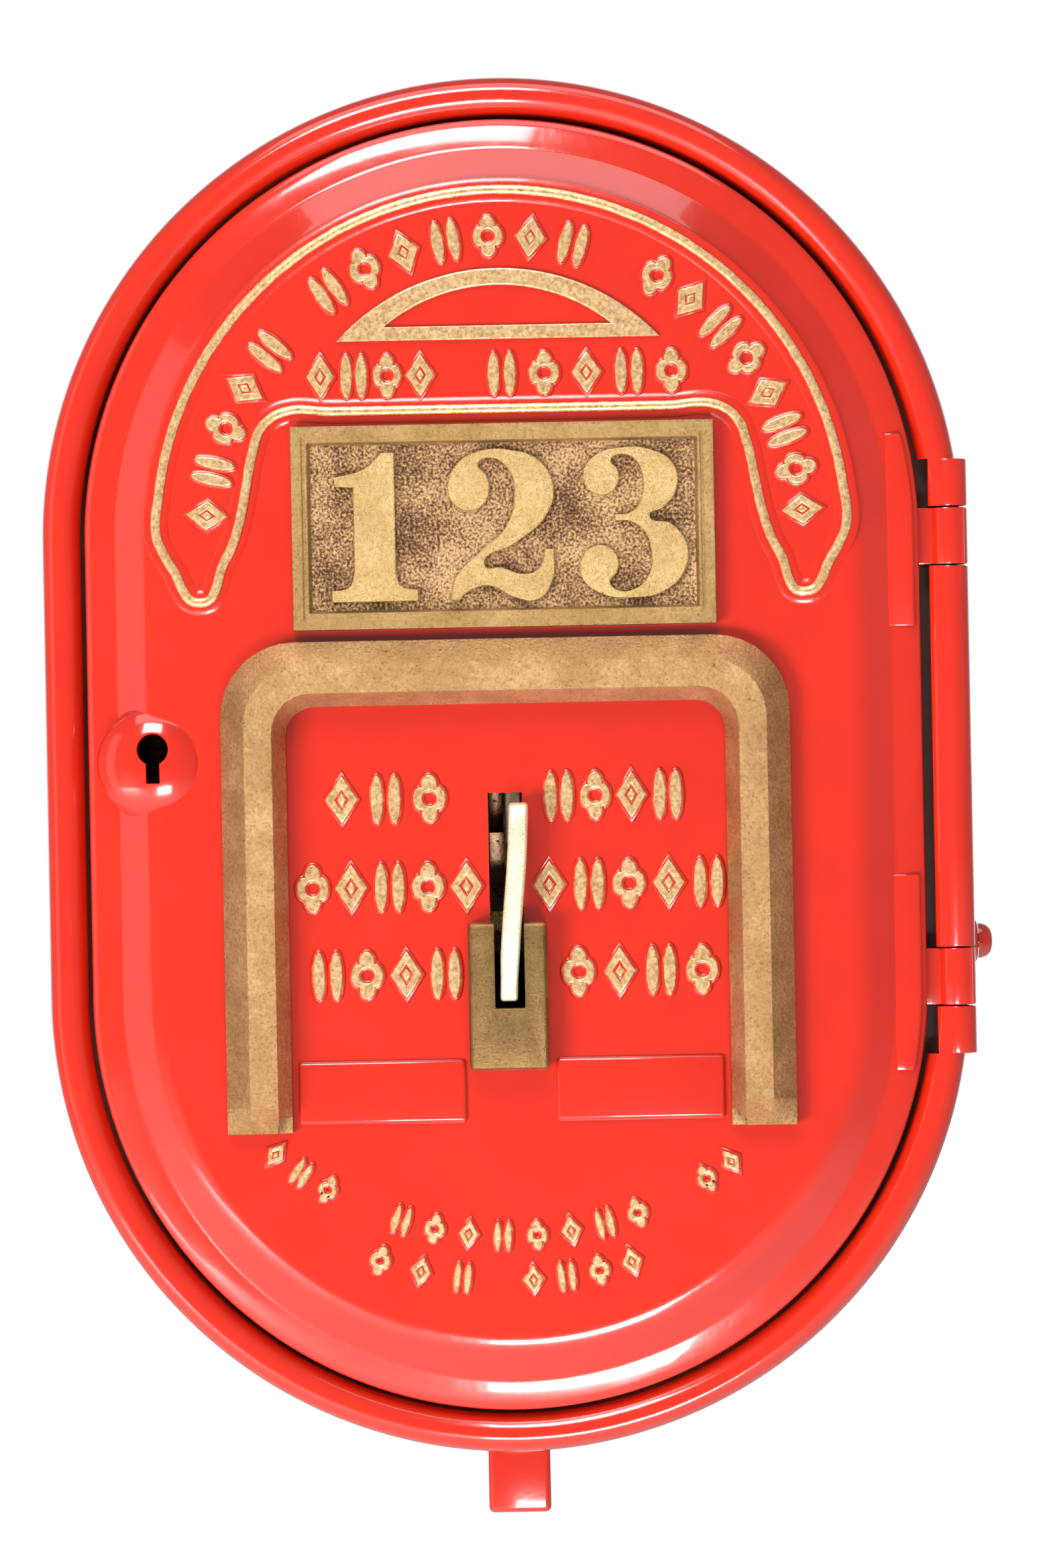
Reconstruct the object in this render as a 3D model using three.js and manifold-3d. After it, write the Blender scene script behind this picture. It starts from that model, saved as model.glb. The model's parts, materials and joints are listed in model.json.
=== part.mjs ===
// Street fire alarm box: a cast-iron wall box with a hinged door, a pull hook behind a glass guard,
// a key lock, and a spring-driven movement that sends the box's code.
// Millimetres. X is right, Z is up, the wall face of the box is the plane Y = 0 and the front faces -Y.
// The origin is the centre of the wall face.

import * as THREE from "three";
import { mergeVertices } from "three/addons/utils/BufferGeometryUtils.js";
import Module from "manifold-3d";

const wasm = await Module();
wasm.setup();

// ---------------------------------------------------------------- driving dimensions

const FIT = 0.3; // clearance between pieces that touch
const ROUND = 48; // sides of a large round
const SMALL = 16; // sides of a small round

// outline: two half rounds joined by straight sides
const HALF = 69; // centre height of the end rounds
const RIM_R = 139.2;
const RIM_WIDTH = 11.7;
const DEPTH = 92; // of the box, from the wall to the front of its rim
const ROLL_DEEP = 15.5; // depth of the rim's roll
const WALL_STEP = 3.2; // from the outside of the rim in to the side wall
const WALL = 5;
const BACK = 6;
const BACK_EDGE = 3; // rounding of the rear edge
const LEDGE_WIDE = 7.5; // ledge behind the door, inwards of the rim
const LEDGE = 5;
const DOOR_GAP = 1.5; // between the door's edge and the rim
const DOOR_SEAT = 1.4; // between the door's back and the ledge

// door: steps inwards from its edge, and forwards from the rim
const LIP_PROUD = 2.1;
const FIELD_PROUD = 7.4; // of the field in front of the lip
const LIP_WIDTH = 8.6;
const COVE_WIDTH = 6.8;
const BEVEL_WIDTH = 5.6;
const LIP_ROUND = 3.2;
const DOOR_WALL = 4.5;
const RIB_WIDTH = 20; // solid edge of the door

// hinge
const BARREL_R = 6;
const PIN_R = 2.4;
const BARREL_TOP = 57.6; // half length of the box's middle barrel
const KNUCKLE_TOP = 75.2; // outer end of a door knuckle
const END_TOP = 89.9; // outer end of a box knuckle
const HINGE_END_GAP = 0.4;
const POCKET = 3; // clearance round a door knuckle

// keyhole boss and lock
const LOCK_IN = 20.2; // from the door's edge to the middle of the boss
const LOCK_Z = 2.4;
const BOSS_R = 17.4;
const BOSS_PROUD = 3.1;
const KEYHOLE_R = 4.7;
const KEYHOLE_RISE = 4; // round of the keyhole above the boss centre
const KEY_SLOT = 4.1;
const KEY_SLOT_DROP = 6.2;
const LOCK_CASE_WIDE = 35.5;
const LOCK_CASE_HALF = 19;
const LOCK_CASE_WALL = 4.4; // behind the bolt
const BOLT_HIGH = 9;
const BOLT_THICK = 3.6;
const BOLT_LONG = 20;
const BOLT_CLEAR = 2; // between the withdrawn bolt and the ledge
const KEEPER_THICK = 2;

// number plate
const PLATE_W = 126.6;
const PLATE_H = 61;
const PLATE_X = 0.6;
const PLATE_Z = 71.6;
const PLATE_THICK = 5;
const PLATE_BORDER = 5.4;
const PLATE_RECESS = 2;

// glass guard
const GUARD_HALF = 85.2;
const GUARD_TOP = 37.7;
const GUARD_BOTTOM = -109.3;
const GUARD_LEG = 19.4;
const GUARD_THICK = 11;
const GUARD_OUTER_ROUND = 22;
const GUARD_BEVEL = 4.6;
const GUARD_BEVEL_DEEP = 6;
const CHANNEL = 3; // width of the glass channel

// hook, its slot and its guide
const SLOT_X = -0.5;
const SLOT_W = 10.2;
const SLOT_TOP = -8.5;
const SLOT_BOTTOM = -74;
const GUIDE_W = 23.7;
const GUIDE_TOP = -47.3;
const GUIDE_BOTTOM = -91.3;
const GUIDE_THICK = 8.6;
const GUIDE_SLOT_W = 8.8;
const GUIDE_SLOT_X = 0;
const GUIDE_SLOT_BOTTOM = -72.9;
const HOOK_TOP = -11.5;
const HOOK_TIP = -70.8;
const HOOK_W = 5.8;
const HOOK_LEAN = 0.064; // sideways lean of the hook's bar, per millimetre of height
const HOOK_BAR_X = 1.6; // centre of the bar at the height of its middle
const SHANK_X = 1.8; // centre of the part that passes through the slot
const SHANK_W = 4.8;
const PIVOT_BACK = 11.5; // of the hook's pivot behind the inside of the door
const PIVOT_Z = 6;
const HUB_R = 5.5;
const HOOK_PIN_R = 2.5;
const TAIL = 14; // height of the hook's tail above its pivot
const EAR = 3; // thickness of the bracket's ears

// trip lever
const TRIP_FORWARD = 5.5; // of the lever's pivot in front of the movement
const TRIP_Z = -42;
const TRIP_W = 4.2;
const TRIP_X = -3.2;
const TRIP_PIN_R = 2;
const NOSE_TOP = -20.6;
const NOSE_BOTTOM = -32.4;
const NOSE_BACK = 7; // of the nose behind the inside of the door

// movement
const MODULE = 1.5;
const STANDOFF = 14; // height of the box's bosses
const PLATE = 2.5; // thickness of the movement's plates
const PLATES_APART = 35.2;
const MOVE_LEFT = -82;
const MOVE_RIGHT = 78;
const MOVE_LOW = 6;
const MOVE_HIGH = 120;
const TONGUE_LOW = -58;
const TONGUE_HALF = 16;
const GREAT_TEETH = 40;
const CODE_PINION = 10;
const DRIVE_TEETH = 32;
const SMALL_PINION = 8;
const INTER_TEETH = 32;
const TRAIN_X = 0; // code arbor
const TRAIN_Z = 62;
const ARBOR_R = 2.5;
const WIND_R = 4;
const CODE_WHEEL_R = 22;
const FLY_R = 14;
const SPRING_OUT = 24;
const SPRING_TURNS = 6;
const SPRING_THICK = 0.9;
const PILLAR_R = 4;

// worked out
const RIM_INNER_R = RIM_R - RIM_WIDTH;
const RIM_FRONT = -DEPTH;
const RIM_BACK = RIM_FRONT + ROLL_DEEP; // where the rim roll meets the side wall
const WALL_R = RIM_R - WALL_STEP;
const WALL_IN = WALL_R - WALL;
const LEDGE_R = RIM_INNER_R - LEDGE_WIDE; // inner edge of the ledge
const LEDGE_BACK = RIM_BACK + 0.5;
const LEDGE_FRONT = LEDGE_BACK - LEDGE;
const DOOR_R = RIM_INNER_R - DOOR_GAP;
const DOOR_BACK = LEDGE_FRONT - DOOR_SEAT;
const LIP_FRONT = RIM_FRONT - LIP_PROUD;
const FIELD_FRONT = LIP_FRONT - FIELD_PROUD;
const COVE_R = DOOR_R - LIP_WIDTH; // where the cove meets the lip
const BEVEL_R = COVE_R - COVE_WIDTH; // foot of the field's rounded edge
const FIELD_R = BEVEL_R - BEVEL_WIDTH; // edge of the flat field
const CAVITY_R = DOOR_R - RIB_WIDTH;
const CAVITY_FRONT = FIELD_FRONT + DOOR_WALL;
const HINGE_X = RIM_R - 4.1;
const HINGE_Y = RIM_FRONT + 5.8;
const POCKET_R = BARREL_R + POCKET;
const LOCK_X = LOCK_IN - DOOR_R;
const BOSS_FRONT = FIELD_FRONT - BOSS_PROUD;
const BOSS_BACK = DOOR_BACK;
const BOLT_TIP = BOLT_CLEAR - LEDGE_R;
const BOLT_FRONT = LEDGE_BACK + KEEPER_THICK + 2 * FIT;
const LOCK_BACK = BOLT_FRONT + BOLT_THICK + LOCK_CASE_WALL;
const LOCK_CASE_END = BOLT_TIP + 0.5 + LOCK_CASE_WIDE; // right-hand end of the lock case
const PIVOT_Y = CAVITY_FRONT + PIVOT_BACK;
const NOSE_FRONT = CAVITY_FRONT + NOSE_BACK;
const BOSS_FACE = -BACK - STANDOFF;
const REAR_PLATE_BACK = BOSS_FACE - FIT;
const REAR_PLATE_FRONT = REAR_PLATE_BACK - PLATE;
const FRONT_PLATE_BACK = REAR_PLATE_FRONT - PLATES_APART;
const FRONT_PLATE_FRONT = FRONT_PLATE_BACK - PLATE;
const TRIP_Y = FRONT_PLATE_FRONT - TRIP_FORWARD;
const SLOT_LEFT = SLOT_X - SLOT_W / 2;
const SLOT_RIGHT = SLOT_X + SLOT_W / 2;

const gearRadius = (teeth) => (teeth * MODULE) / 2;
const away = (from, distance, degrees) => ({
  x: from.x + distance * Math.cos((degrees * Math.PI) / 180),
  z: from.z + distance * Math.sin((degrees * Math.PI) / 180),
});
const INTER_BEARING = 30; // direction from the code arbor to the intermediate arbor, degrees
const FLY_BEARING = -40;
const codeAt = { x: TRAIN_X, z: TRAIN_Z };
const greatAt = away(codeAt, gearRadius(GREAT_TEETH) + gearRadius(CODE_PINION), 180);
const interAt = away(codeAt, gearRadius(DRIVE_TEETH) + gearRadius(SMALL_PINION), INTER_BEARING);
const flyAt = away(interAt, gearRadius(INTER_TEETH) + gearRadius(SMALL_PINION), FLY_BEARING);

// ---------------------------------------------------------------- materials

const finish = (color, roughness, metalness) =>
  new THREE.MeshStandardMaterial({ color, roughness, metalness });
const enamel = finish(0xd8261e, 0.25, 0);
const brass = finish(0xa98b4f, 0.45, 1);
const agedBrass = finish(0x8f7440, 0.55, 1);
const polished = finish(0xd9cda0, 0.2, 1);
const copper = finish(0xb98a66, 0.4, 1);
const steel = finish(0x8c8c8a, 0.4, 1);
const blued = finish(0x3c4658, 0.35, 1);
const fibre = finish(0x3a2318, 0.7, 0);
const cloth = finish(0x2c2a28, 0.9, 0);

// ---------------------------------------------------------------- shape helpers

const alarmBox = new THREE.Group();

function solid(geometry) {
  const bare = geometry.clone();
  bare.deleteAttribute("normal");
  bare.deleteAttribute("uv");
  const merged = mergeVertices(bare, 1e-4);
  const vertProperties = merged.attributes.position.array;
  const triVerts = new Uint32Array(merged.index.array);
  return new wasm.Manifold(new wasm.Mesh({ numProp: 3, vertProperties, triVerts }));
}

function toGeometry(shape) {
  const mesh = shape.getMesh();
  const geometry = new THREE.BufferGeometry();
  geometry.setAttribute("position", new THREE.BufferAttribute(mesh.vertProperties, 3));
  geometry.setIndex(new THREE.BufferAttribute(mesh.triVerts, 1));
  geometry.computeVertexNormals();
  return geometry;
}

function piece(name, shape, material) {
  const mesh = new THREE.Mesh(toGeometry(shape), material);
  mesh.name = name;
  alarmBox.add(mesh);
}

const join = (shapes) => shapes.reduce((all, shape) => all.add(shape));
const cut = (shape, tools) => tools.reduce((left, tool) => left.subtract(tool), shape);

function block(x0, x1, y0, y1, z0, z1) {
  const geometry = new THREE.BoxGeometry(x1 - x0, y1 - y0, z1 - z0);
  geometry.translate((x0 + x1) / 2, (y0 + y1) / 2, (z0 + z1) / 2);
  return solid(geometry);
}

// round bars along each axis
function rodY(x, z, radius, y0, y1, sides = SMALL) {
  const geometry = new THREE.CylinderGeometry(radius, radius, y1 - y0, sides);
  geometry.translate(x, (y0 + y1) / 2, z);
  return solid(geometry);
}

function rodZ(x, y, radius, z0, z1, sides = SMALL) {
  const geometry = new THREE.CylinderGeometry(radius, radius, z1 - z0, sides);
  geometry.rotateX(Math.PI / 2);
  geometry.translate(x, y, (z0 + z1) / 2);
  return solid(geometry);
}

function rodX(y, z, radius, x0, x1, sides = SMALL) {
  const geometry = new THREE.CylinderGeometry(radius, radius, x1 - x0, sides);
  geometry.rotateZ(Math.PI / 2);
  geometry.translate((x0 + x1) / 2, y, z);
  return solid(geometry);
}

// turned piece on an axis along Y; the profile runs from the front of the axis to the back of it
function turned(x, z, profile, sides = SMALL) {
  const points = profile.map(([radius, y]) => new THREE.Vector2(radius, y));
  const geometry = new THREE.LatheGeometry(points, sides);
  geometry.translate(x, 0, z);
  return solid(geometry);
}

// flat piece: an outline in X and Z between two depths
function plate(outline, yBack, yFront, segments = 8) {
  const options = { depth: yBack - yFront, bevelEnabled: false, curveSegments: segments };
  const geometry = new THREE.ExtrudeGeometry(outline, options);
  geometry.rotateX(Math.PI / 2);
  geometry.translate(0, yBack, 0);
  return solid(geometry);
}

// flat piece with its front edges chamfered
function bevelledPlate(outline, yBack, yFront, width, depth, segments = 8) {
  const options = {
    depth: yBack - yFront - depth,
    bevelEnabled: true,
    bevelSize: width,
    bevelOffset: -width,
    bevelThickness: depth,
    bevelSegments: 1,
    curveSegments: segments,
  };
  const geometry = new THREE.ExtrudeGeometry(outline, options);
  geometry.rotateX(Math.PI / 2);
  geometry.translate(0, yBack, 0);
  const behind = block(-RIM_R, RIM_R, yBack, yBack + 2 * depth, -2 * RIM_R, 2 * RIM_R);
  return solid(geometry).subtract(behind);
}

// outline in Y and Z extruded along X
function slab(points, x0, x1) {
  const outline = new THREE.Shape(points.map(([y, z]) => new THREE.Vector2(y, z)));
  const geometry = new THREE.ExtrudeGeometry(outline, { depth: x1 - x0, bevelEnabled: false });
  geometry.applyMatrix4(new THREE.Matrix4().set(0, 0, 1, x0, 1, 0, 0, 0, 0, 1, 0, 0, 0, 0, 0, 1));
  return solid(geometry);
}

function rectangle(x0, x1, z0, z1) {
  const corners = [[x0, z0], [x1, z0], [x1, z1], [x0, z1]];
  return new THREE.Shape(corners.map(([x, z]) => new THREE.Vector2(x, z)));
}

// a profile of radius and depth carried round the box's outline
function stadiumSolid(profile) {
  const points = profile.map(([radius, y]) => new THREE.Vector2(radius, y));
  const end = new THREE.LatheGeometry(points, ROUND);
  const right = points.slice(1, -1);
  const left = right.map((point) => new THREE.Vector2(-point.x, point.y)).reverse();
  const section = new THREE.Shape([...right, ...left]);
  const sides = new THREE.ExtrudeGeometry(section, { depth: 2 * HALF, bevelEnabled: false });
  sides.translate(0, 0, -HALF);
  const top = end.clone().translate(0, 0, HALF);
  const bottom = end.clone().translate(0, 0, -HALF);
  return join([solid(sides), solid(top), solid(bottom)]);
}

// points of a quarter or other stretch of an ellipse, both ends included
function arc(radius, y, width, depth, fromDegrees, toDegrees, steps) {
  const points = [];
  for (let i = 0; i <= steps; i++) {
    const angle = ((fromDegrees + ((toDegrees - fromDegrees) * i) / steps) * Math.PI) / 180;
    points.push([radius + width * Math.cos(angle), y + depth * Math.sin(angle)]);
  }
  return points;
}

// screw with its head in front and its shank behind, along Y; a flat back face at the head
function screw(name, x, z, seatY, headR, headDeep, shankR, length, towards = -1, material = brass) {
  const dome = headDeep / 3;
  const slot = headR / 5;
  const profile = [[0, -headDeep], [headR - dome, -headDeep], [headR, dome - headDeep]];
  profile.push([headR, 0], [shankR, 0], [shankR, length], [0, length]);
  const slotCut = block(-headR, headR, -headDeep - 1, -headDeep + dome, -slot, slot);
  let shape = turned(0, 0, profile, 12).subtract(slotCut);
  if (towards > 0) shape = shape.rotate([180, 0, 0]);
  piece(name, shape.translate([x, seatY, z]), material);
}

// toothed wheel along Y; phase turns a tooth to that direction, in degrees
function wheel(at, teeth, yBack, yFront, bore, phase, spokes = 0) {
  const pitch = (2 * Math.PI) / teeth;
  const rootR = gearRadius(teeth) - 1.25 * MODULE;
  const tipR = gearRadius(teeth) + 0.9 * MODULE;
  const flank = [[-0.27, rootR], [-0.11, tipR], [0.11, tipR], [0.27, rootR]];
  const points = [];
  for (let i = 0; i < teeth; i++) {
    for (const [share, radius] of flank) {
      const angle = (phase * Math.PI) / 180 + (i + share) * pitch;
      points.push(new THREE.Vector2(at.x + radius * Math.cos(angle), at.z + radius * Math.sin(angle)));
    }
  }
  const tools = [];
  if (bore) tools.push(rodY(at.x, at.z, bore, yFront - 1, yBack + 1));
  for (let i = 0; i < spokes; i++) {
    const window = away(at, rootR * 0.56, 45 + (360 * i) / spokes);
    tools.push(rodY(window.x, window.z, rootR * 0.24, yFront - 1, yBack + 1));
  }
  return cut(plate(new THREE.Shape(points), yBack, yFront), tools);
}

// direction of one axis from another, degrees
const bearing = (from, to) => (Math.atan2(to.z - from.z, to.x - from.x) * 180) / Math.PI;
// a wheel's phase with a gap, in place of a tooth, in a direction
const gapTowards = (degrees, teeth) => degrees + 180 / teeth;

// ---------------------------------------------------------------- back box

const movementScrews = [];
for (const x of [MOVE_LEFT + 8, MOVE_RIGHT - 8]) {
  for (const z of [MOVE_LOW + 8, MOVE_HIGH - 8]) movementScrews.push({ x, z });
}
const WALL_HOLE_X = 80;
const WALL_HOLE_Z = 128;
const WALL_HOLE_R = 4.2;
const CABLE_HOLE = { x: 0, z: -165, radius: 11 };
const TERMINAL_SCREWS = [-24, 24];
const TERMINAL_Z = -112;
const FOOT_Y = -DEPTH / 2; // centre depth of the bottom boss
const FOOT_HALF = 9.6;
const FOOT_BOTTOM = -HALF - RIM_R - 22.8;
const FOOT_PAD_R = 17.8;
const SIDE_SCREW_Y = RIM_BACK + 12.5;
const SIDE_SCREW_Z = -56.7;
const SIDE_BOSS_R = 6.6;
const SIDE_BOSS_END = RIM_R + 4.2;
const KEEPER_SCREW_REACH = 17; // of the keeper's screws from its middle

function rimProfile() {
  const middle = (RIM_INNER_R + RIM_R) / 2 + 0.6;
  const inner = arc(middle, RIM_FRONT + 6.4, middle - RIM_INNER_R, 6.4, 180, 270, 4);
  const outer = arc(middle, RIM_FRONT + 6.4, RIM_R - middle, 6.4, 270, 360, 4).slice(1);
  const under = [[RIM_R - 0.6, RIM_FRONT + 10], [WALL_R, RIM_BACK]];
  const rear = [[WALL_R, -BACK_EDGE], [WALL_R - BACK_EDGE, 0], [0, 0]];
  return [[0, inner[0][1]], ...inner, ...outer, ...under, ...rear];
}

function hingeStack() {
  const stack = [rodZ(HINGE_X, HINGE_Y, BARREL_R, -BARREL_TOP, BARREL_TOP, 20)];
  for (const side of [-1, 1]) {
    const near = side * (KNUCKLE_TOP + HINGE_END_GAP);
    const far = side * END_TOP;
    stack.push(rodZ(HINGE_X, HINGE_Y, BARREL_R, Math.min(near, far), Math.max(near, far), 20));
  }
  // web from the barrel down to the side wall
  stack.push(block(HINGE_X - 4, HINGE_X + 0.4, HINGE_Y, LEDGE_BACK + 1, -END_TOP + 1, END_TOP - 1));
  return stack;
}

function backBox() {
  const cavity = stadiumSolid([
    [0, RIM_FRONT - 10],
    [RIM_INNER_R, RIM_FRONT - 10],
    [RIM_INNER_R, LEDGE_FRONT],
    [LEDGE_R, LEDGE_FRONT],
    [LEDGE_R, LEDGE_BACK],
    [WALL_IN, LEDGE_BACK],
    [WALL_IN, -BACK],
    [0, -BACK],
  ]);
  const foot = rodZ(0, FOOT_Y, FOOT_PAD_R, -HALF - WALL_R - 8, -HALF - WALL_IN - 1, 24);
  const corner = 2;
  const lugOutline = new THREE.Shape();
  lugOutline.moveTo(-FOOT_HALF, -HALF - WALL_IN - 1);
  lugOutline.absarc(-FOOT_HALF + corner, FOOT_BOTTOM + corner, corner, Math.PI, 1.5 * Math.PI);
  lugOutline.absarc(FOOT_HALF - corner, FOOT_BOTTOM + corner, corner, 1.5 * Math.PI, 2 * Math.PI);
  lugOutline.lineTo(FOOT_HALF, -HALF - WALL_IN - 1);
  const lug = plate(lugOutline, FOOT_Y + FOOT_HALF, FOOT_Y - FOOT_HALF, 3);
  const bosses = movementScrews.map(({ x, z }) => rodY(x, z, 7, BOSS_FACE, -BACK + 1));
  const sideBoss = rodX(SIDE_SCREW_Y, SIDE_SCREW_Z, SIDE_BOSS_R, WALL_IN + 1, SIDE_BOSS_END);
  const outer = stadiumSolid(rimProfile());
  const pockets = [];
  for (const side of [-1, 1]) {
    const from = side * BARREL_TOP;
    const to = side * (KNUCKLE_TOP + HINGE_END_GAP);
    pockets.push(rodZ(HINGE_X, HINGE_Y, POCKET_R, Math.min(from, to), Math.max(from, to), 24));
  }
  // the rim's roll gives way to the barrel along the hinge
  const relief = block(COVE_R, HINGE_X - BARREL_R, RIM_FRONT - 4, LEDGE_FRONT, -END_TOP, END_TOP);
  const pinHole = rodZ(HINGE_X, HINGE_Y, PIN_R + FIT, -END_TOP - 30, KNUCKLE_TOP + 13.7, 12);
  const holes = [pinHole, relief, ...pockets];
  for (const x of [-WALL_HOLE_X, WALL_HOLE_X]) {
    for (const z of [-WALL_HOLE_Z, WALL_HOLE_Z]) holes.push(rodY(x, z, WALL_HOLE_R, -BACK - 1, 1));
  }
  holes.push(rodY(CABLE_HOLE.x, CABLE_HOLE.z, CABLE_HOLE.radius, -BACK - 1, 1, 24));
  for (const { x, z } of movementScrews) holes.push(rodY(x, z, 1.8, BOSS_FACE - 1, BOSS_FACE + 11, 8));
  for (const x of TERMINAL_SCREWS) holes.push(rodY(x, TERMINAL_Z, 1.8, -BACK - 1, -BACK + 4, 8));
  for (const side of [-1, 1]) {
    const z = LOCK_Z + side * KEEPER_SCREW_REACH;
    holes.push(rodY(-(LEDGE_R + WALL_IN) / 2, z, 1.6, LEDGE_FRONT + 1, LEDGE_BACK + 1, 8));
  }
  holes.push(rodX(SIDE_SCREW_Y, SIDE_SCREW_Z, 2.6, SIDE_BOSS_END - 9, SIDE_BOSS_END + 1, 12));
  const body = cut(outer, [cavity]);
  const details = [foot, lug, sideBoss].map((shape) => shape.subtract(cavity));
  return cut(join([body, ...details, ...bosses, ...hingeStack()]), holes);
}
piece("back_box", backBox(), enamel);

const pinSpan = KNUCKLE_TOP + 13;
piece("hinge_pin", rodZ(HINGE_X, HINGE_Y, PIN_R, -pinSpan, pinSpan, 12), steel);

function sideScrew() {
  const head = turned(0, 0, [[0, -4.7], [3, -4.2], [4.9, -2.6], [5.4, 0], [2.2, 0], [2.2, 8], [0, 8]], 20);
  const slotted = head.subtract(block(-6, 6, -5, -3.3, -0.7, 0.7));
  const turnedOut = slotted.rotate([0, 0, 90]);
  return turnedOut.translate([SIDE_BOSS_END + FIT, SIDE_SCREW_Y, SIDE_SCREW_Z]);
}
piece("side_screw", sideScrew(), enamel);

// ---------------------------------------------------------------- door

const lockScrews = [-1, 1].map((side) => ({ x: LOCK_X + 10.8, z: LOCK_Z + side * 11 }));
const bracketScrews = [-1, 1].map((side) => ({ x: SHANK_X + side * 11, z: PIVOT_Z + 16 }));

const LOBE_LOW = 50; // foot of the banner's lobes

function bannerLine() {
  const outerR = FIELD_R - 1.5;
  const plateSide = PLATE_X - PLATE_W / 2;
  const plateTop = PLATE_Z + PLATE_H / 2;
  const lobe = new THREE.SplineCurve(
    [
      [-outerR, HALF - 1],
      [2.5 - outerR, LOBE_LOW + 12.5],
      [7.7 - outerR, LOBE_LOW + 5.4],
      [12.5 - outerR, LOBE_LOW],
      [plateSide - 24.1, LOBE_LOW + 4.2],
      [plateSide - 18.8, LOBE_LOW + 16],
      [plateSide - 15.9, plateTop - 22.1],
      [plateSide - 12.7, plateTop - 8.1],
      [plateSide - 8.5, plateTop + 1.5],
      [plateSide - 2.3, plateTop + 4.7],
    ].map(([x, z]) => new THREE.Vector2(x, z)),
  );
  const left = lobe.getPoints(18);
  const right = left.map((point) => new THREE.Vector2(-point.x, point.y)).reverse();
  const top = [];
  for (let i = 1; i < 24; i++) {
    const angle = (Math.PI * i) / 24;
    top.push(new THREE.Vector2(outerR * Math.cos(angle), HALF + outerR * Math.sin(angle)));
  }
  return [...top, ...left, ...right];
}

// a closed line of points moved sideways by a distance
function offsetLine(points, distance) {
  const last = points.length;
  return points.map((point, i) => {
    const before = points[(i + last - 1) % last];
    const after = points[(i + 1) % last];
    const along = new THREE.Vector2().subVectors(after, before).normalize();
    return new THREE.Vector2(point.x + along.y * distance, point.y - along.x * distance);
  });
}

const BEAD_HALF = 1.2;
const BEAD_HIGH = 1.4;

function bannerBead() {
  const line = bannerLine();
  const ring = new THREE.Shape(offsetLine(line, BEAD_HALF));
  ring.holes.push(new THREE.Path(offsetLine(line, -BEAD_HALF)));
  return plate(ring, FIELD_FRONT + 1, FIELD_FRONT - BEAD_HIGH);
}

const CRESCENT_HALF = 48.6;
const CRESCENT_LOW = PLATE_Z + PLATE_H / 2 + 25.5;
const CRESCENT_HIGH = CRESCENT_LOW + 21.4;

// a segment of a circle, flat side down
function segment(halfWidth, low, high) {
  const rise = high - low;
  const radius = (halfWidth ** 2 + rise ** 2) / (2 * rise);
  const half = Math.asin(halfWidth / radius);
  const outline = new THREE.Shape();
  outline.absarc(0, high - radius, radius, Math.PI / 2 - half, Math.PI / 2 + half);
  return outline;
}

function crescent() {
  const front = FIELD_FRONT - BEAD_HIGH;
  const raised = plate(segment(CRESCENT_HALF, CRESCENT_LOW, CRESCENT_HIGH), FIELD_FRONT + 1, front, 16);
  const opening = segment(CRESCENT_HALF - 14.6, CRESCENT_LOW + 4.2, CRESCENT_HIGH - 5.2);
  return raised.subtract(plate(opening, FIELD_FRONT, front - 1, 16));
}

function keyholeCut() {
  const round = rodY(LOCK_X, LOCK_Z + KEYHOLE_RISE, KEYHOLE_R, BOSS_FRONT - 2, BOSS_BACK + 2);
  const low = LOCK_Z - KEY_SLOT_DROP;
  const high = LOCK_Z + KEYHOLE_RISE;
  const half = KEY_SLOT / 2;
  return round.add(block(LOCK_X - half, LOCK_X + half, BOSS_FRONT - 2, BOSS_BACK + 2, low, high));
}

function doorKnuckle(side) {
  const near = side * (BARREL_TOP + HINGE_END_GAP);
  const far = side * KNUCKLE_TOP;
  const [low, high] = near < far ? [near, far] : [far, near];
  const outer = HINGE_X + BARREL_R;
  const barrel = rodZ(HINGE_X, HINGE_Y, BARREL_R, low, high, 20);
  // flat cheek on the outside of the knuckle
  const corners = [[HINGE_X, HINGE_Y - 5.2], [outer - 1.4, HINGE_Y - 4.6]];
  corners.push([outer + 0.2, HINGE_Y + 5.6], [HINGE_X, HINGE_Y + 5.8]);
  const outline = new THREE.Shape(corners.map(([x, y]) => new THREE.Vector2(x, y)));
  const cheek = new THREE.ExtrudeGeometry(outline, { depth: high - low, bevelEnabled: false });
  cheek.translate(0, 0, low);
  const arm = block(COVE_R, HINGE_X, HINGE_Y - 3.4, DOOR_BACK, low, high);
  return join([barrel, solid(cheek), arm]);
}

const PAD_HIGH = 1.5;
const PADS = [[-64, -13.6], [13.4, 64]];
const PAD_TOP = -88.2;
const PAD_BOTTOM = -107.2;
const HINGE_PADS = [[KNUCKLE_TOP - 35.7, KNUCKLE_TOP + 22.3], [-KNUCKLE_TOP - 19.3, -KNUCKLE_TOP + 39.7]];
const GUARD_STUDS = [-(GUARD_HALF - GUARD_LEG / 2), GUARD_HALF - GUARD_LEG / 2];
const GUARD_STUD_Z = -40;
const PLATE_STUDS = [PLATE_X - 48, PLATE_X + 48];

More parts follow.
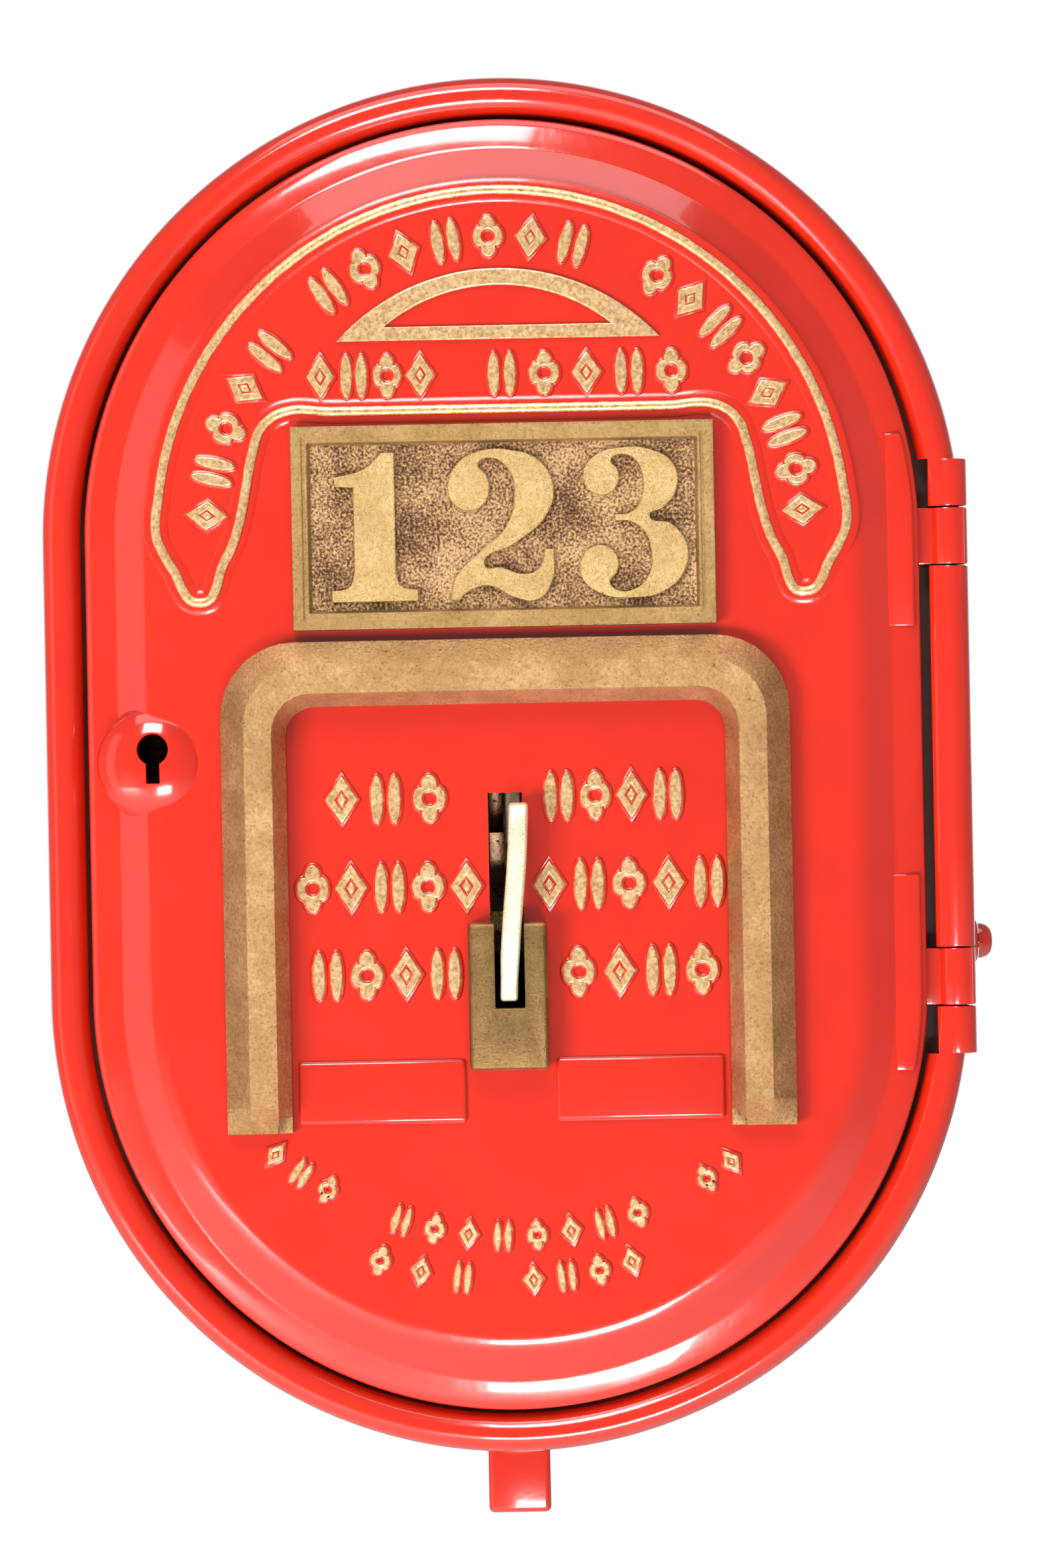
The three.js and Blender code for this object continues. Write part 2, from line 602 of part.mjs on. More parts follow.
function door() {
  const outside = stadiumSolid([
    [0, FIELD_FRONT],
    ...arc(FIELD_R, LIP_FRONT - 3.6, BEVEL_R - FIELD_R, LIP_FRONT - 3.6 - FIELD_FRONT, 270, 360, 4),
    ...arc(COVE_R, LIP_FRONT - 3.6, COVE_R - BEVEL_R, 3.6, 180, 90, 4).slice(1),
    ...arc(DOOR_R - LIP_ROUND, LIP_FRONT + LIP_ROUND, LIP_ROUND, LIP_ROUND, 270, 360, 3),
    [DOOR_R, DOOR_BACK],
    [0, DOOR_BACK],
  ]);
  const hollow = stadiumSolid([
    [0, CAVITY_FRONT],
    [CAVITY_R - 3, CAVITY_FRONT],
    [CAVITY_R, CAVITY_FRONT + 3],
    [CAVITY_R, DOOR_BACK + 2],
    [0, DOOR_BACK + 2],
  ]);
  const bossProfile = [[0, BOSS_FRONT], [6.5, BOSS_FRONT + 0.5], [11.6, BOSS_FRONT + 2.1]];
  bossProfile.push([15.4, BOSS_FRONT + 4.6], [BOSS_R, BOSS_FRONT + 8], [BOSS_R, BOSS_BACK], [0, BOSS_BACK]);
  const boss = turned(LOCK_X, LOCK_Z, bossProfile, 24);
  const pads = PADS.map(([x0, x1]) => {
    const outline = rectangle(x0, x1, PAD_BOTTOM, PAD_TOP);
    return bevelledPlate(outline, FIELD_FRONT + 1, FIELD_FRONT - PAD_HIGH, 1.2, PAD_HIGH);
  });
  const padR = DOOR_R - 1.6;
  const padFront = LIP_FRONT - 2;
  const padBack = DOOR_BACK - 2;
  const padLimit = stadiumSolid([[0, padFront], [padR, padFront], [padR, padBack], [0, padBack]]);
  const hingePads = HINGE_PADS.map(([z0, z1]) =>
    block(COVE_R - 3.4, DOOR_R, LIP_FRONT - 0.5, DOOR_BACK - 3, z0, z1).intersect(padLimit),
  );
  const slot = block(SLOT_LEFT, SLOT_RIGHT, FIELD_FRONT - 3, CAVITY_FRONT + 3, SLOT_BOTTOM, SLOT_TOP);
  const holes = [slot, keyholeCut()];
  holes.push(rodZ(HINGE_X, HINGE_Y, PIN_R + FIT, -KNUCKLE_TOP - 1, KNUCKLE_TOP + 1, 12));
  for (const x of GUARD_STUDS) holes.push(rodY(x, GUARD_STUD_Z, 2.1, FIELD_FRONT - 3, CAVITY_FRONT + 3, 8));
  for (const x of PLATE_STUDS) holes.push(rodY(x, PLATE_Z, 2.1, FIELD_FRONT - 3, CAVITY_FRONT + 3, 8));
  for (const { x, z } of lockScrews) holes.push(rodY(x, z, 1.8, BOSS_BACK - 6, BOSS_BACK + 1, 8));
  for (const { x, z } of bracketScrews) holes.push(rodY(x, z, 1.8, CAVITY_FRONT - 3, CAVITY_FRONT + 1, 8));
  const parts = [outside.subtract(hollow), boss, ...pads, ...hingePads, bannerBead(), crescent()];
  return cut(join([...parts, doorKnuckle(-1), doorKnuckle(1)]), holes);
}
piece("door", door(), enamel);

// ---------------------------------------------------------------- pieces on the door's front

const FACE = FIELD_FRONT - FIT;

function numberPlate() {
  const left = PLATE_X - PLATE_W / 2;
  const right = PLATE_X + PLATE_W / 2;
  const low = PLATE_Z - PLATE_H / 2;
  const high = PLATE_Z + PLATE_H / 2;
  const border = PLATE_BORDER;
  const front = FACE - PLATE_THICK;
  const body = bevelledPlate(rectangle(left, right, low, high), FACE, front, 1, 1);
  const recess = front + PLATE_RECESS;
  const tools = [block(left + border, right - border, front - 1, recess, low + border, high - border)];
  for (const x of PLATE_STUDS) tools.push(rodY(x, PLATE_Z, 1.8, FACE - 2.2, FACE + 1, 8));
  return cut(body, tools).add(plateDigits(recess + 0.5, front + 0.4));
}

// three upright figures built from bars and part rings
function plateDigits(yBack, yFront) {
  const high = 44;
  const wide = 30;
  const stroke = 10;
  const low = PLATE_Z - high / 2;
  const part = (x0, x1, z0, z1) => plate(rectangle(x0, x1, z0, z1), yBack, yFront);
  const bow = (x, z, outer, from, to) => {
    const outline = new THREE.Shape();
    outline.absarc(x, z, outer, from * Math.PI, to * Math.PI);
    outline.absarc(x, z, outer - stroke * 0.8, to * Math.PI, from * Math.PI, true);
    return plate(outline, yBack, yFront, 10);
  };
  const one = PLATE_X - 36;
  const two = PLATE_X + 1;
  const three = PLATE_X + 38;
  const upperR = 12.5;
  const lowerR = 13.5;
  const top = low + high;
  return join([
    part(one - stroke / 2, one + stroke / 2, low, top),
    part(one - wide / 2.6, one + wide / 2.6, low, low + 4),
    part(one - stroke, one, top - 12, top - 7),
    bow(two, top - upperR, upperR, -0.15, 1),
    plate(
      new THREE.Shape(
        [[two - 14, low], [two - 4, low], [two + 12.2, top - 17], [two + 4, top - 20]]
          .map(([x, z]) => new THREE.Vector2(x, z)),
      ),
      yBack,
      yFront,
    ),
    part(two - 14, two + 14, low, low + 8),
    bow(three, top - upperR, upperR, -0.5, 0.9),
    bow(three, low + lowerR, lowerR, -0.9, 0.5),
  ]);
}
piece("number_plate", numberPlate(), brass);

function glassGuard() {
  const outer = GUARD_HALF;
  const inner = GUARD_HALF - GUARD_LEG;
  const round = GUARD_OUTER_ROUND;
  const innerRound = round - GUARD_LEG + 6;
  const under = GUARD_TOP - GUARD_LEG;
  const outline = new THREE.Shape();
  outline.moveTo(-outer, GUARD_BOTTOM);
  outline.lineTo(-inner, GUARD_BOTTOM);
  outline.absarc(-inner + innerRound, under - innerRound, innerRound, Math.PI, Math.PI / 2, true);
  outline.absarc(inner - innerRound, under - innerRound, innerRound, Math.PI / 2, 0, true);
  outline.lineTo(inner, GUARD_BOTTOM);
  outline.lineTo(outer, GUARD_BOTTOM);
  outline.absarc(outer - round, GUARD_TOP - round, round, 0, Math.PI / 2);
  outline.absarc(-outer + round, GUARD_TOP - round, round, Math.PI / 2, Math.PI);
  const front = FACE - GUARD_THICK;
  const body = bevelledPlate(outline, FACE, front, GUARD_BEVEL, GUARD_BEVEL_DEEP, 5);
  const deep = FACE - 1.6;
  const groove = block(-inner - 3.6, inner + 3.6, deep - CHANNEL, deep, GUARD_BOTTOM - 1, under + 3.6);
  const tools = [groove];
  for (const x of GUARD_STUDS) tools.push(rodY(x, GUARD_STUD_Z, 1.8, FACE - 6.5, FACE + 1, 8));
  return cut(body, tools);
}
piece("glass_guard", glassGuard(), brass);

function hookGuide() {
  const half = GUIDE_W / 2;
  const slotHalf = GUIDE_SLOT_W / 2;
  const outline = rectangle(SLOT_X - half, SLOT_X + half, GUIDE_BOTTOM, GUIDE_TOP);
  const body = bevelledPlate(outline, FACE, FACE - GUIDE_THICK, 1.5, 1.5);
  const front = FACE - GUIDE_THICK - 1;
  const left = GUIDE_SLOT_X - slotHalf;
  const right = GUIDE_SLOT_X + slotHalf;
  return body.subtract(block(left, right, front, FACE + 1, GUIDE_SLOT_BOTTOM, GUIDE_TOP + 1));
}
piece("hook_guide", hookGuide(), agedBrass);

// screws driven from inside the door
const INSIDE = CAVITY_FRONT + FIT;
PLATE_STUDS.forEach((x, i) => {
  screw(`number_plate_screw_${i + 1}`, x, PLATE_Z, INSIDE, 3.6, 2.6, 1.5, DOOR_WALL + 2.4, 1);
});
GUARD_STUDS.forEach((x, i) => {
  screw(`guard_screw_${i + 1}`, x, GUARD_STUD_Z, INSIDE, 3.6, 2.6, 1.5, DOOR_WALL + 6.4, 1);
});

// ---------------------------------------------------------------- lock

function lockBody() {
  const left = LOCK_CASE_END - LOCK_CASE_WIDE;
  const low = LOCK_Z - LOCK_CASE_HALF;
  const high = LOCK_Z + LOCK_CASE_HALF;
  const body = block(left, LOCK_CASE_END, BOSS_BACK + FIT, LOCK_BACK, low, high);
  const half = BOLT_HIGH / 2 + FIT;
  const bayBack = BOLT_FRONT + BOLT_THICK + FIT;
  const bay = block(left - 1, LOCK_CASE_END - 7, BOLT_FRONT - FIT, bayBack, LOCK_Z - half, LOCK_Z + half);
  const keyWay = rodY(LOCK_X, LOCK_Z + KEYHOLE_RISE, KEYHOLE_R, BOSS_BACK - 1, BOLT_FRONT);
  const holes = lockScrews.map(({ x, z }) => rodY(x, z, 1.8, BOSS_BACK - 1, LOCK_BACK + 1, 8));
  return cut(body, [bay, keyWay, ...holes]);
}
piece("lock_body", lockBody(), brass);
lockScrews.forEach(({ x, z }, i) => {
  screw(`lock_screw_${i + 1}`, x, z, LOCK_BACK + FIT, 3.2, 2.2, 1.5, LOCK_BACK - BOSS_BACK + 5, 1, steel);
});

function lockBolt() {
  const back = BOLT_FRONT + BOLT_THICK;
  const half = BOLT_HIGH / 2;
  const low = LOCK_Z - half;
  const bar = block(BOLT_TIP, BOLT_TIP + BOLT_LONG, BOLT_FRONT, back, low, LOCK_Z + half);
  // the notch that the key's bit turns in
  const notchBack = BOLT_FRONT + 1.6;
  return bar.subtract(block(LOCK_X - 4, LOCK_X + 4, BOLT_FRONT - 1, notchBack, low - 1, LOCK_Z));
}
piece("lock_bolt", lockBolt(), steel);

const keeperBack = LEDGE_BACK + FIT + KEEPER_THICK;
const keeperScrews = [-1, 1].map((side) => ({
  x: -(LEDGE_R + WALL_IN) / 2,
  z: LOCK_Z + side * KEEPER_SCREW_REACH,
}));

function boltKeeper() {
  const left = -WALL_IN + 0.6;
  const high = KEEPER_SCREW_REACH + 5;
  const body = block(left, -LEDGE_R, LEDGE_BACK + FIT, keeperBack, LOCK_Z - high, LOCK_Z + high);
  return cut(body, keeperScrews.map(({ x, z }) => rodY(x, z, 1.8, LEDGE_BACK - 1, keeperBack + 1, 8)));
}
piece("bolt_keeper", boltKeeper(), brass);
keeperScrews.forEach(({ x, z }, i) => {
  screw(`keeper_screw_${i + 1}`, x, z, keeperBack + FIT, 3, 1.8, 1.3, KEEPER_THICK + LEDGE - 1, 1, steel);
});

// ---------------------------------------------------------------- pull hook and its bracket

// heights between which the shank passes through the door
const SHANK_TOP = HOOK_TOP - 4.5;
const SHANK_LOW = HOOK_TOP - 14.5;

function pullHook() {
  const middle = (HOOK_TOP + HOOK_TIP) / 2;
  const bar = slab(
    [
      [FIELD_FRONT - 3.1, HOOK_TOP - 1.6],
      [FIELD_FRONT - 4.7, HOOK_TOP],
      [FIELD_FRONT - 9.9, HOOK_TOP],
      [FIELD_FRONT - 11.5, HOOK_TOP - 2],
      [FIELD_FRONT - 12.3, SHANK_LOW + 2],
      [FIELD_FRONT - 11.7, middle],
      [FIELD_FRONT - 10.3, HOOK_TIP + 13],
      [FIELD_FRONT - 9.1, HOOK_TIP],
      [FIELD_FRONT - 4.9, HOOK_TIP],
      [FIELD_FRONT - 5.7, HOOK_TIP + 15],
      [FIELD_FRONT - 6.1, middle + 1],
      [FIELD_FRONT - 5.1, SHANK_LOW - 3],
      [FIELD_FRONT - 2.9, SHANK_LOW],
    ],
    -HOOK_W / 2,
    HOOK_W / 2,
  );
  const lean = new THREE.Matrix4().makeShear(0, 0, 0, 0, HOOK_LEAN, 0);
  lean.setPosition(HOOK_BAR_X - HOOK_LEAN * middle, 0, 0);
  const leaning = bar.transform(lean.toArray());
  const left = SHANK_X - SHANK_W / 2;
  const right = SHANK_X + SHANK_W / 2;
  const shank = slab(
    [
      [PIVOT_Y - 1.5, PIVOT_Z],
      [PIVOT_Y - 1.5, SHANK_TOP],
      [FIELD_FRONT - 3.5, SHANK_TOP],
      [FIELD_FRONT - 3.5, SHANK_LOW],
      [PIVOT_Y + 2, SHANK_LOW],
      [PIVOT_Y + 3, SHANK_LOW + 2],
      [PIVOT_Y + 3, PIVOT_Z + TAIL],
      [PIVOT_Y - 2, PIVOT_Z + TAIL],
    ],
    left,
    right,
  );
  const hub = rodX(PIVOT_Y, PIVOT_Z, HUB_R, left, right);
  const pinHole = rodX(PIVOT_Y, PIVOT_Z, HOOK_PIN_R + FIT, left - 1, right + 1, 12);
  return join([leaning, shank, hub]).subtract(pinHole);
}
piece("pull_hook", pullHook(), polished);

const EAR_LEFT = SHANK_X - SHANK_W / 2 - FIT - EAR;
const EAR_RIGHT = SHANK_X + SHANK_W / 2 + FIT + EAR;
const BRACKET_BASE = 1.5;
const SPRING_END = EAR_RIGHT + 8;

function hookBracket() {
  const base = block(SHANK_X - 16, SHANK_X + 16, INSIDE, INSIDE + BRACKET_BASE, PIVOT_Z - 12, PIVOT_Z + 21);
  const earShape = (x0) => block(x0, x0 + EAR, INSIDE, PIVOT_Y + 4.6, PIVOT_Z - 7, PIVOT_Z + 7);
  const ears = [earShape(EAR_LEFT), earShape(EAR_RIGHT - EAR)];
  const tools = [rodX(PIVOT_Y, PIVOT_Z, HOOK_PIN_R + FIT, EAR_LEFT - 1, EAR_RIGHT + 1, 12)];
  for (const { x, z } of bracketScrews) tools.push(rodY(x, z, 1.8, INSIDE - 1, INSIDE + 4, 8));
  return cut(join([base, ...ears]), tools);
}
piece("hook_bracket", hookBracket(), brass);
piece("hook_pin", rodX(PIVOT_Y, PIVOT_Z, HOOK_PIN_R, EAR_LEFT - 0.6, SPRING_END, 12), steel);
bracketScrews.forEach(({ x, z }, i) => {
  const seat = INSIDE + BRACKET_BASE + FIT;
  screw(`bracket_screw_${i + 1}`, x, z, seat, 3.2, 2.2, 1.5, BRACKET_BASE + 3, 1);
});

// a bar of round section along a curve, open ends closed
function wire(points, radius, steps, sides = 8) {
  const curve = new THREE.CatmullRomCurve3(points.map(([x, y, z]) => new THREE.Vector3(x, y, z)));
  const section = new THREE.Shape();
  section.absarc(0, 0, radius, 0, 2 * Math.PI);
  const outline = new THREE.Shape(section.getPoints(sides).slice(0, sides));
  const options = { steps, extrudePath: curve, bevelEnabled: false };
  return solid(new THREE.ExtrudeGeometry(outline, options));
}

function hookSpring() {
  const coilR = HOOK_PIN_R + 1.6;
  const turns = 3;
  const start = EAR_RIGHT + 1.2;
  const points = [[start, INSIDE + BRACKET_BASE + 1, PIVOT_Z - coilR]];
  for (let i = 0; i <= turns * 8 + 2; i++) {
    const angle = Math.PI / 2 + (2 * Math.PI * i) / 8;
    const x = start + (i * 1.7) / 8;
    points.push([x, PIVOT_Y + coilR * Math.cos(angle), PIVOT_Z - coilR * Math.sin(angle)]);
  }
  const last = points[points.length - 1][0];
  points.push([last + 0.2, PIVOT_Y - coilR + 0.4, PIVOT_Z + 5]);
  points.push([last - 2, PIVOT_Y - 1, PIVOT_Z + 10]);
  points.push([SHANK_X + SHANK_W / 2 + 1.2, PIVOT_Y + 0.5, PIVOT_Z + 11]);
  return wire(points, 0.6, 52, 6);
}
piece("hook_spring", hookSpring(), steel);

// ---------------------------------------------------------------- trip lever

const TRIP_LEFT = TRIP_X - TRIP_W / 2;
const TRIP_RIGHT = TRIP_X + TRIP_W / 2;
const PAD_FACE = PIVOT_Y + 3 + 0.4;

function tripLever() {
  const strapFront = PAD_FACE + 2.4;
  const strapBack = strapFront + 3;
  const arm = slab(
    [
      [TRIP_Y + 1.5, TRIP_Z - 2.4],
      [TRIP_Y - 2, TRIP_Z - 2.4],
      [strapFront - 1, NOSE_BOTTOM - 1.6],
      [NOSE_FRONT + 4.5, NOSE_BOTTOM],
      [NOSE_FRONT + 1, NOSE_BOTTOM + 3.6],
      [NOSE_FRONT, NOSE_BOTTOM + 8],
      [NOSE_FRONT, NOSE_TOP],
      [strapFront, NOSE_TOP],
      [strapFront, PIVOT_Z + TAIL + 2],
      [strapBack, PIVOT_Z + TAIL + 2],
      [strapBack, NOSE_BOTTOM + 2],
      [TRIP_Y + 2.4, TRIP_Z + 1.6],
    ],
    TRIP_LEFT,
    TRIP_RIGHT,
  );
  const hub = rodX(TRIP_Y, TRIP_Z, 3, TRIP_LEFT, TRIP_RIGHT);
  const padTop = PIVOT_Z + TAIL + 2;
  const pad = block(TRIP_LEFT, SHANK_X + SHANK_W / 2, PAD_FACE, strapBack, padTop - 7, padTop);
  const bore = rodX(TRIP_Y, TRIP_Z, TRIP_PIN_R + FIT, TRIP_LEFT - 1, TRIP_RIGHT + 1, 12);
  return join([arm, hub, pad]).subtract(bore);
}
piece("trip_lever", tripLever(), copper);

const TRIP_EAR = 3;
const TRIP_EAR_LEFT = TRIP_LEFT - FIT - TRIP_EAR;
const TRIP_EAR_RIGHT = TRIP_RIGHT + FIT + TRIP_EAR;

function tripBracket() {
  const back = FRONT_PLATE_FRONT - FIT;
  const base = block(TRIP_EAR_LEFT, TRIP_EAR_RIGHT, back - 1.8, back, TRIP_Z - 9, TRIP_Z + 9);
  const ear = (x0) => block(x0, x0 + TRIP_EAR, TRIP_Y - 3.6, back, TRIP_Z - 5, TRIP_Z + 5);
  const bore = rodX(TRIP_Y, TRIP_Z, TRIP_PIN_R + FIT, TRIP_EAR_LEFT - 1, TRIP_EAR_RIGHT + 1, 12);
  return join([base, ear(TRIP_EAR_LEFT), ear(TRIP_EAR_RIGHT - TRIP_EAR)]).subtract(bore);
}
piece("trip_bracket", tripBracket(), brass);
piece("trip_pin", rodX(TRIP_Y, TRIP_Z, TRIP_PIN_R, TRIP_EAR_LEFT - 0.6, TRIP_EAR_RIGHT + 0.6, 12), steel);

// ---------------------------------------------------------------- movement frame

const PILLARS = [
  { x: greatAt.x - gearRadius(GREAT_TEETH) - 7, z: TRAIN_Z },
  { x: -8, z: 112 },
  { x: 64, z: 100 },
  { x: 30, z: 18 },
];
const PIVOT_R = 1.5; // arbor pivots in the plates
const trainAxes = [codeAt, interAt, flyAt];

function rearPlate() {
  const outline = rectangle(MOVE_LEFT, MOVE_RIGHT, MOVE_LOW, MOVE_HIGH);
  const tools = trainAxes.map(({ x, z }) => rodY(x, z, PIVOT_R + FIT, REAR_PLATE_FRONT - 1, BOSS_FACE, 12));
  tools.push(rodY(greatAt.x, greatAt.z, 2 + FIT, REAR_PLATE_FRONT - 1, BOSS_FACE, 12));
  for (const { x, z } of movementScrews) tools.push(rodY(x, z, 2.1, REAR_PLATE_FRONT - 1, BOSS_FACE, 8));
  return cut(plate(outline, REAR_PLATE_BACK, REAR_PLATE_FRONT), tools);
}
piece("movement_back_plate", rearPlate(), brass);

function frontPlate() {
  const corners = [[MOVE_LEFT, MOVE_LOW + 12], [MOVE_LEFT, MOVE_HIGH - 10], [MOVE_LEFT + 12, MOVE_HIGH]];
  corners.push([MOVE_RIGHT - 16, MOVE_HIGH], [MOVE_RIGHT, MOVE_HIGH - 14], [MOVE_RIGHT, MOVE_LOW + 20]);
  corners.push([MOVE_RIGHT - 26, MOVE_LOW], [TONGUE_HALF, MOVE_LOW], [TONGUE_HALF, TONGUE_LOW]);
  corners.push([-TONGUE_HALF, TONGUE_LOW], [-TONGUE_HALF, MOVE_LOW], [MOVE_LEFT + 16, MOVE_LOW]);
  const outline = new THREE.Shape(corners.reverse().map(([x, z]) => new THREE.Vector2(x, z)));
  const span = [FRONT_PLATE_FRONT - 1, FRONT_PLATE_BACK + 1];
  const tools = [interAt, flyAt].map(({ x, z }) => rodY(x, z, PIVOT_R + FIT, ...span, 12));
  tools.push(rodY(codeAt.x, codeAt.z, ARBOR_R + FIT, ...span, 12));
  tools.push(rodY(greatAt.x, greatAt.z, WIND_R + FIT, ...span, 12));
  for (const { x, z } of PILLARS) tools.push(rodY(x, z, 2.1, ...span, 8));
  return cut(plate(outline, FRONT_PLATE_BACK, FRONT_PLATE_FRONT), tools);
}
piece("movement_front_plate", frontPlate(), brass);

PILLARS.forEach(({ x, z }, i) => {
  const front = FRONT_PLATE_BACK + FIT;
  const back = REAR_PLATE_FRONT - FIT;
  const profile = [[0, front], [PILLAR_R + 1, front], [PILLAR_R + 1, front + 4], [PILLAR_R - 0.8, front + 6]];
  profile.push([PILLAR_R - 0.8, back - 6], [PILLAR_R + 1, back - 4], [PILLAR_R + 1, back], [0, back]);
  const shape = turned(x, z, profile, 12).subtract(rodY(x, z, 1.8, front - 1, front + 6, 8));
  piece(`pillar_${i + 1}`, shape, brass);
  screw(`plate_screw_${i + 1}`, x, z, FRONT_PLATE_FRONT - FIT, 3.6, 2.6, 1.5, PLATE + 5, -1, blued);
});
movementScrews.forEach(({ x, z }, i) => {
  screw(`mount_screw_${i + 1}`, x, z, REAR_PLATE_FRONT - FIT, 4, 2.8, 1.5, PLATE + 9, -1, steel);
});

// ---------------------------------------------------------------- power and train

const GREAT_BACK = REAR_PLATE_FRONT - 2.7;
const GREAT_FRONT = GREAT_BACK - 3;
const RATCHET_BACK = GREAT_FRONT - FIT;
const RATCHET_FRONT = RATCHET_BACK - 2.5;
const RATCHET_TEETH = 12;
const RATCHET_R = 11;
const RATCHET_DEEP = 2;
const HUB_BACK = RATCHET_FRONT;
const HUB_FRONT = HUB_BACK - 16.5;
const DRUM_R = 6;
const WIND_END = FRONT_PLATE_FRONT - 13;
const WIND_SQUARE = 5.4;

function greatWheel() {
  const shape = wheel(greatAt, GREAT_TEETH, GREAT_BACK, GREAT_FRONT, WIND_R + FIT, 0, 4);
  const stud = clickStud();
  return shape.subtract(rodY(stud.x, stud.z, 1.8, GREAT_FRONT - 1, GREAT_BACK + 1, 8));
}
// where the click turns on the great wheel
function clickStud() {
  return away(greatAt, RATCHET_R + 7, 90);
}
piece("great_wheel", greatWheel(), brass);

function ratchetWheel() {
  const points = [];
  for (let i = 0; i < RATCHET_TEETH; i++) {
    const angle = (2 * Math.PI * i) / RATCHET_TEETH + Math.PI / 2;
    const inner = RATCHET_R - RATCHET_DEEP;
    points.push(new THREE.Vector2(RATCHET_R * Math.cos(angle), RATCHET_R * Math.sin(angle)));
    points.push(new THREE.Vector2(inner * Math.cos(angle + 0.05), inner * Math.sin(angle + 0.05)));
  }
  const moved = points.map((point) => new THREE.Vector2(point.x + greatAt.x, point.y + greatAt.z));
  return plate(new THREE.Shape(moved), RATCHET_BACK, RATCHET_FRONT);
}

function windingArbor() {
  const { x, z } = greatAt;
  const half = WIND_SQUARE / 2;
  const squareStart = FRONT_PLATE_FRONT - 4;
  return join([
    rodY(x, z, 2, REAR_PLATE_FRONT - 1, REAR_PLATE_BACK + 0.4, 12),
    rodY(x, z, WIND_R, squareStart, REAR_PLATE_FRONT - FIT),
    ratchetWheel(),
    rodY(x, z, DRUM_R, HUB_FRONT, HUB_BACK + 0.5, 20),
    block(x - half, x + half, WIND_END, squareStart + 1, z - half, z + half),
  ]);
}
piece("winding_arbor", windingArbor(), steel);

function ratchetClick() {
  const stud = clickStud();
  const tipZ = greatAt.z + RATCHET_R - RATCHET_DEEP + 0.6;
  const corners = [[stud.x + 3, stud.z + 2.5], [stud.x - 1, stud.z + 3.4], [stud.x - 3.4, stud.z]];
  corners.push([greatAt.x - 2.6, tipZ + 4], [greatAt.x - 1.9, tipZ + 0.4], [greatAt.x - 0.6, tipZ + 1.6]);
  corners.push([stud.x + 3.2, stud.z - 2.4]);
  const outline = new THREE.Shape(corners.reverse().map(([x, z]) => new THREE.Vector2(x, z)));
  const pawl = plate(outline, RATCHET_BACK, RATCHET_FRONT);
  return pawl.add(rodY(stud.x, stud.z, 1.5, RATCHET_FRONT - 1, GREAT_BACK - 0.3, 8));
}
piece("ratchet_click", ratchetClick(), steel);

// flat spiral between the arbor's drum and the first pillar
function mainspring() {
  const steps = SPRING_TURNS * 14;
  const inner = DRUM_R + FIT;
  const line = [];
  for (let i = 0; i <= steps; i++) {
    const angle = Math.PI + (2 * Math.PI * (i - steps)) / 14;
    const radius = inner + SPRING_THICK / 2 + ((SPRING_OUT - inner) * i) / steps;
    const x = greatAt.x + radius * Math.cos(angle);
    line.push(new THREE.Vector2(x, greatAt.z + radius * Math.sin(angle)));
  }
  const pillar = PILLARS[0];
  line.push(new THREE.Vector2(pillar.x + PILLAR_R + 2.2, greatAt.z - 1));
  const left = [];
  const right = [];
  line.forEach((point, i) => {
    const before = line[Math.max(i - 1, 0)];
    const after = line[Math.min(i + 1, line.length - 1)];
    const along = new THREE.Vector2().subVectors(after, before).normalize();
    const side = SPRING_THICK / 2;
    left.push(new THREE.Vector2(point.x - along.y * side, point.y + along.x * side));
    right.push(new THREE.Vector2(point.x + along.y * side, point.y - along.x * side));
  });
  return plate(new THREE.Shape([...left, ...right.reverse()]), HUB_BACK - 1.5, HUB_FRONT + 1.5);
}
piece("mainspring", mainspring(), blued);

const DRIVE_BACK = HUB_FRONT - 1.5;
const INTER_BACK = REAR_PLATE_FRONT - 13.2;
const WHEEL_THICK = 2.5;
const CODE_WHEEL_BACK = FRONT_PLATE_FRONT - 3.5;

function codeArbor() {
  const { x, z } = codeAt;
  const phase = gapTowards(180, CODE_PINION);
  return join([
    wheel(codeAt, CODE_PINION, GREAT_BACK + 1, GREAT_FRONT - 1, 0, phase),
    rodY(x, z, PIVOT_R, REAR_PLATE_FRONT - 1, REAR_PLATE_BACK + 0.2, 12),
    rodY(x, z, ARBOR_R, CODE_WHEEL_BACK - WHEEL_THICK - 2.5, REAR_PLATE_FRONT - FIT, 12),
  ]);
}
piece("code_arbor", codeArbor(), steel);
const DRIVE_FRONT = DRIVE_BACK - WHEEL_THICK;
const codeBore = ARBOR_R + FIT;
const driveWheel = wheel(codeAt, DRIVE_TEETH, DRIVE_BACK, DRIVE_FRONT, codeBore, INTER_BEARING, 5);
piece("code_drive_wheel", driveWheel, brass);

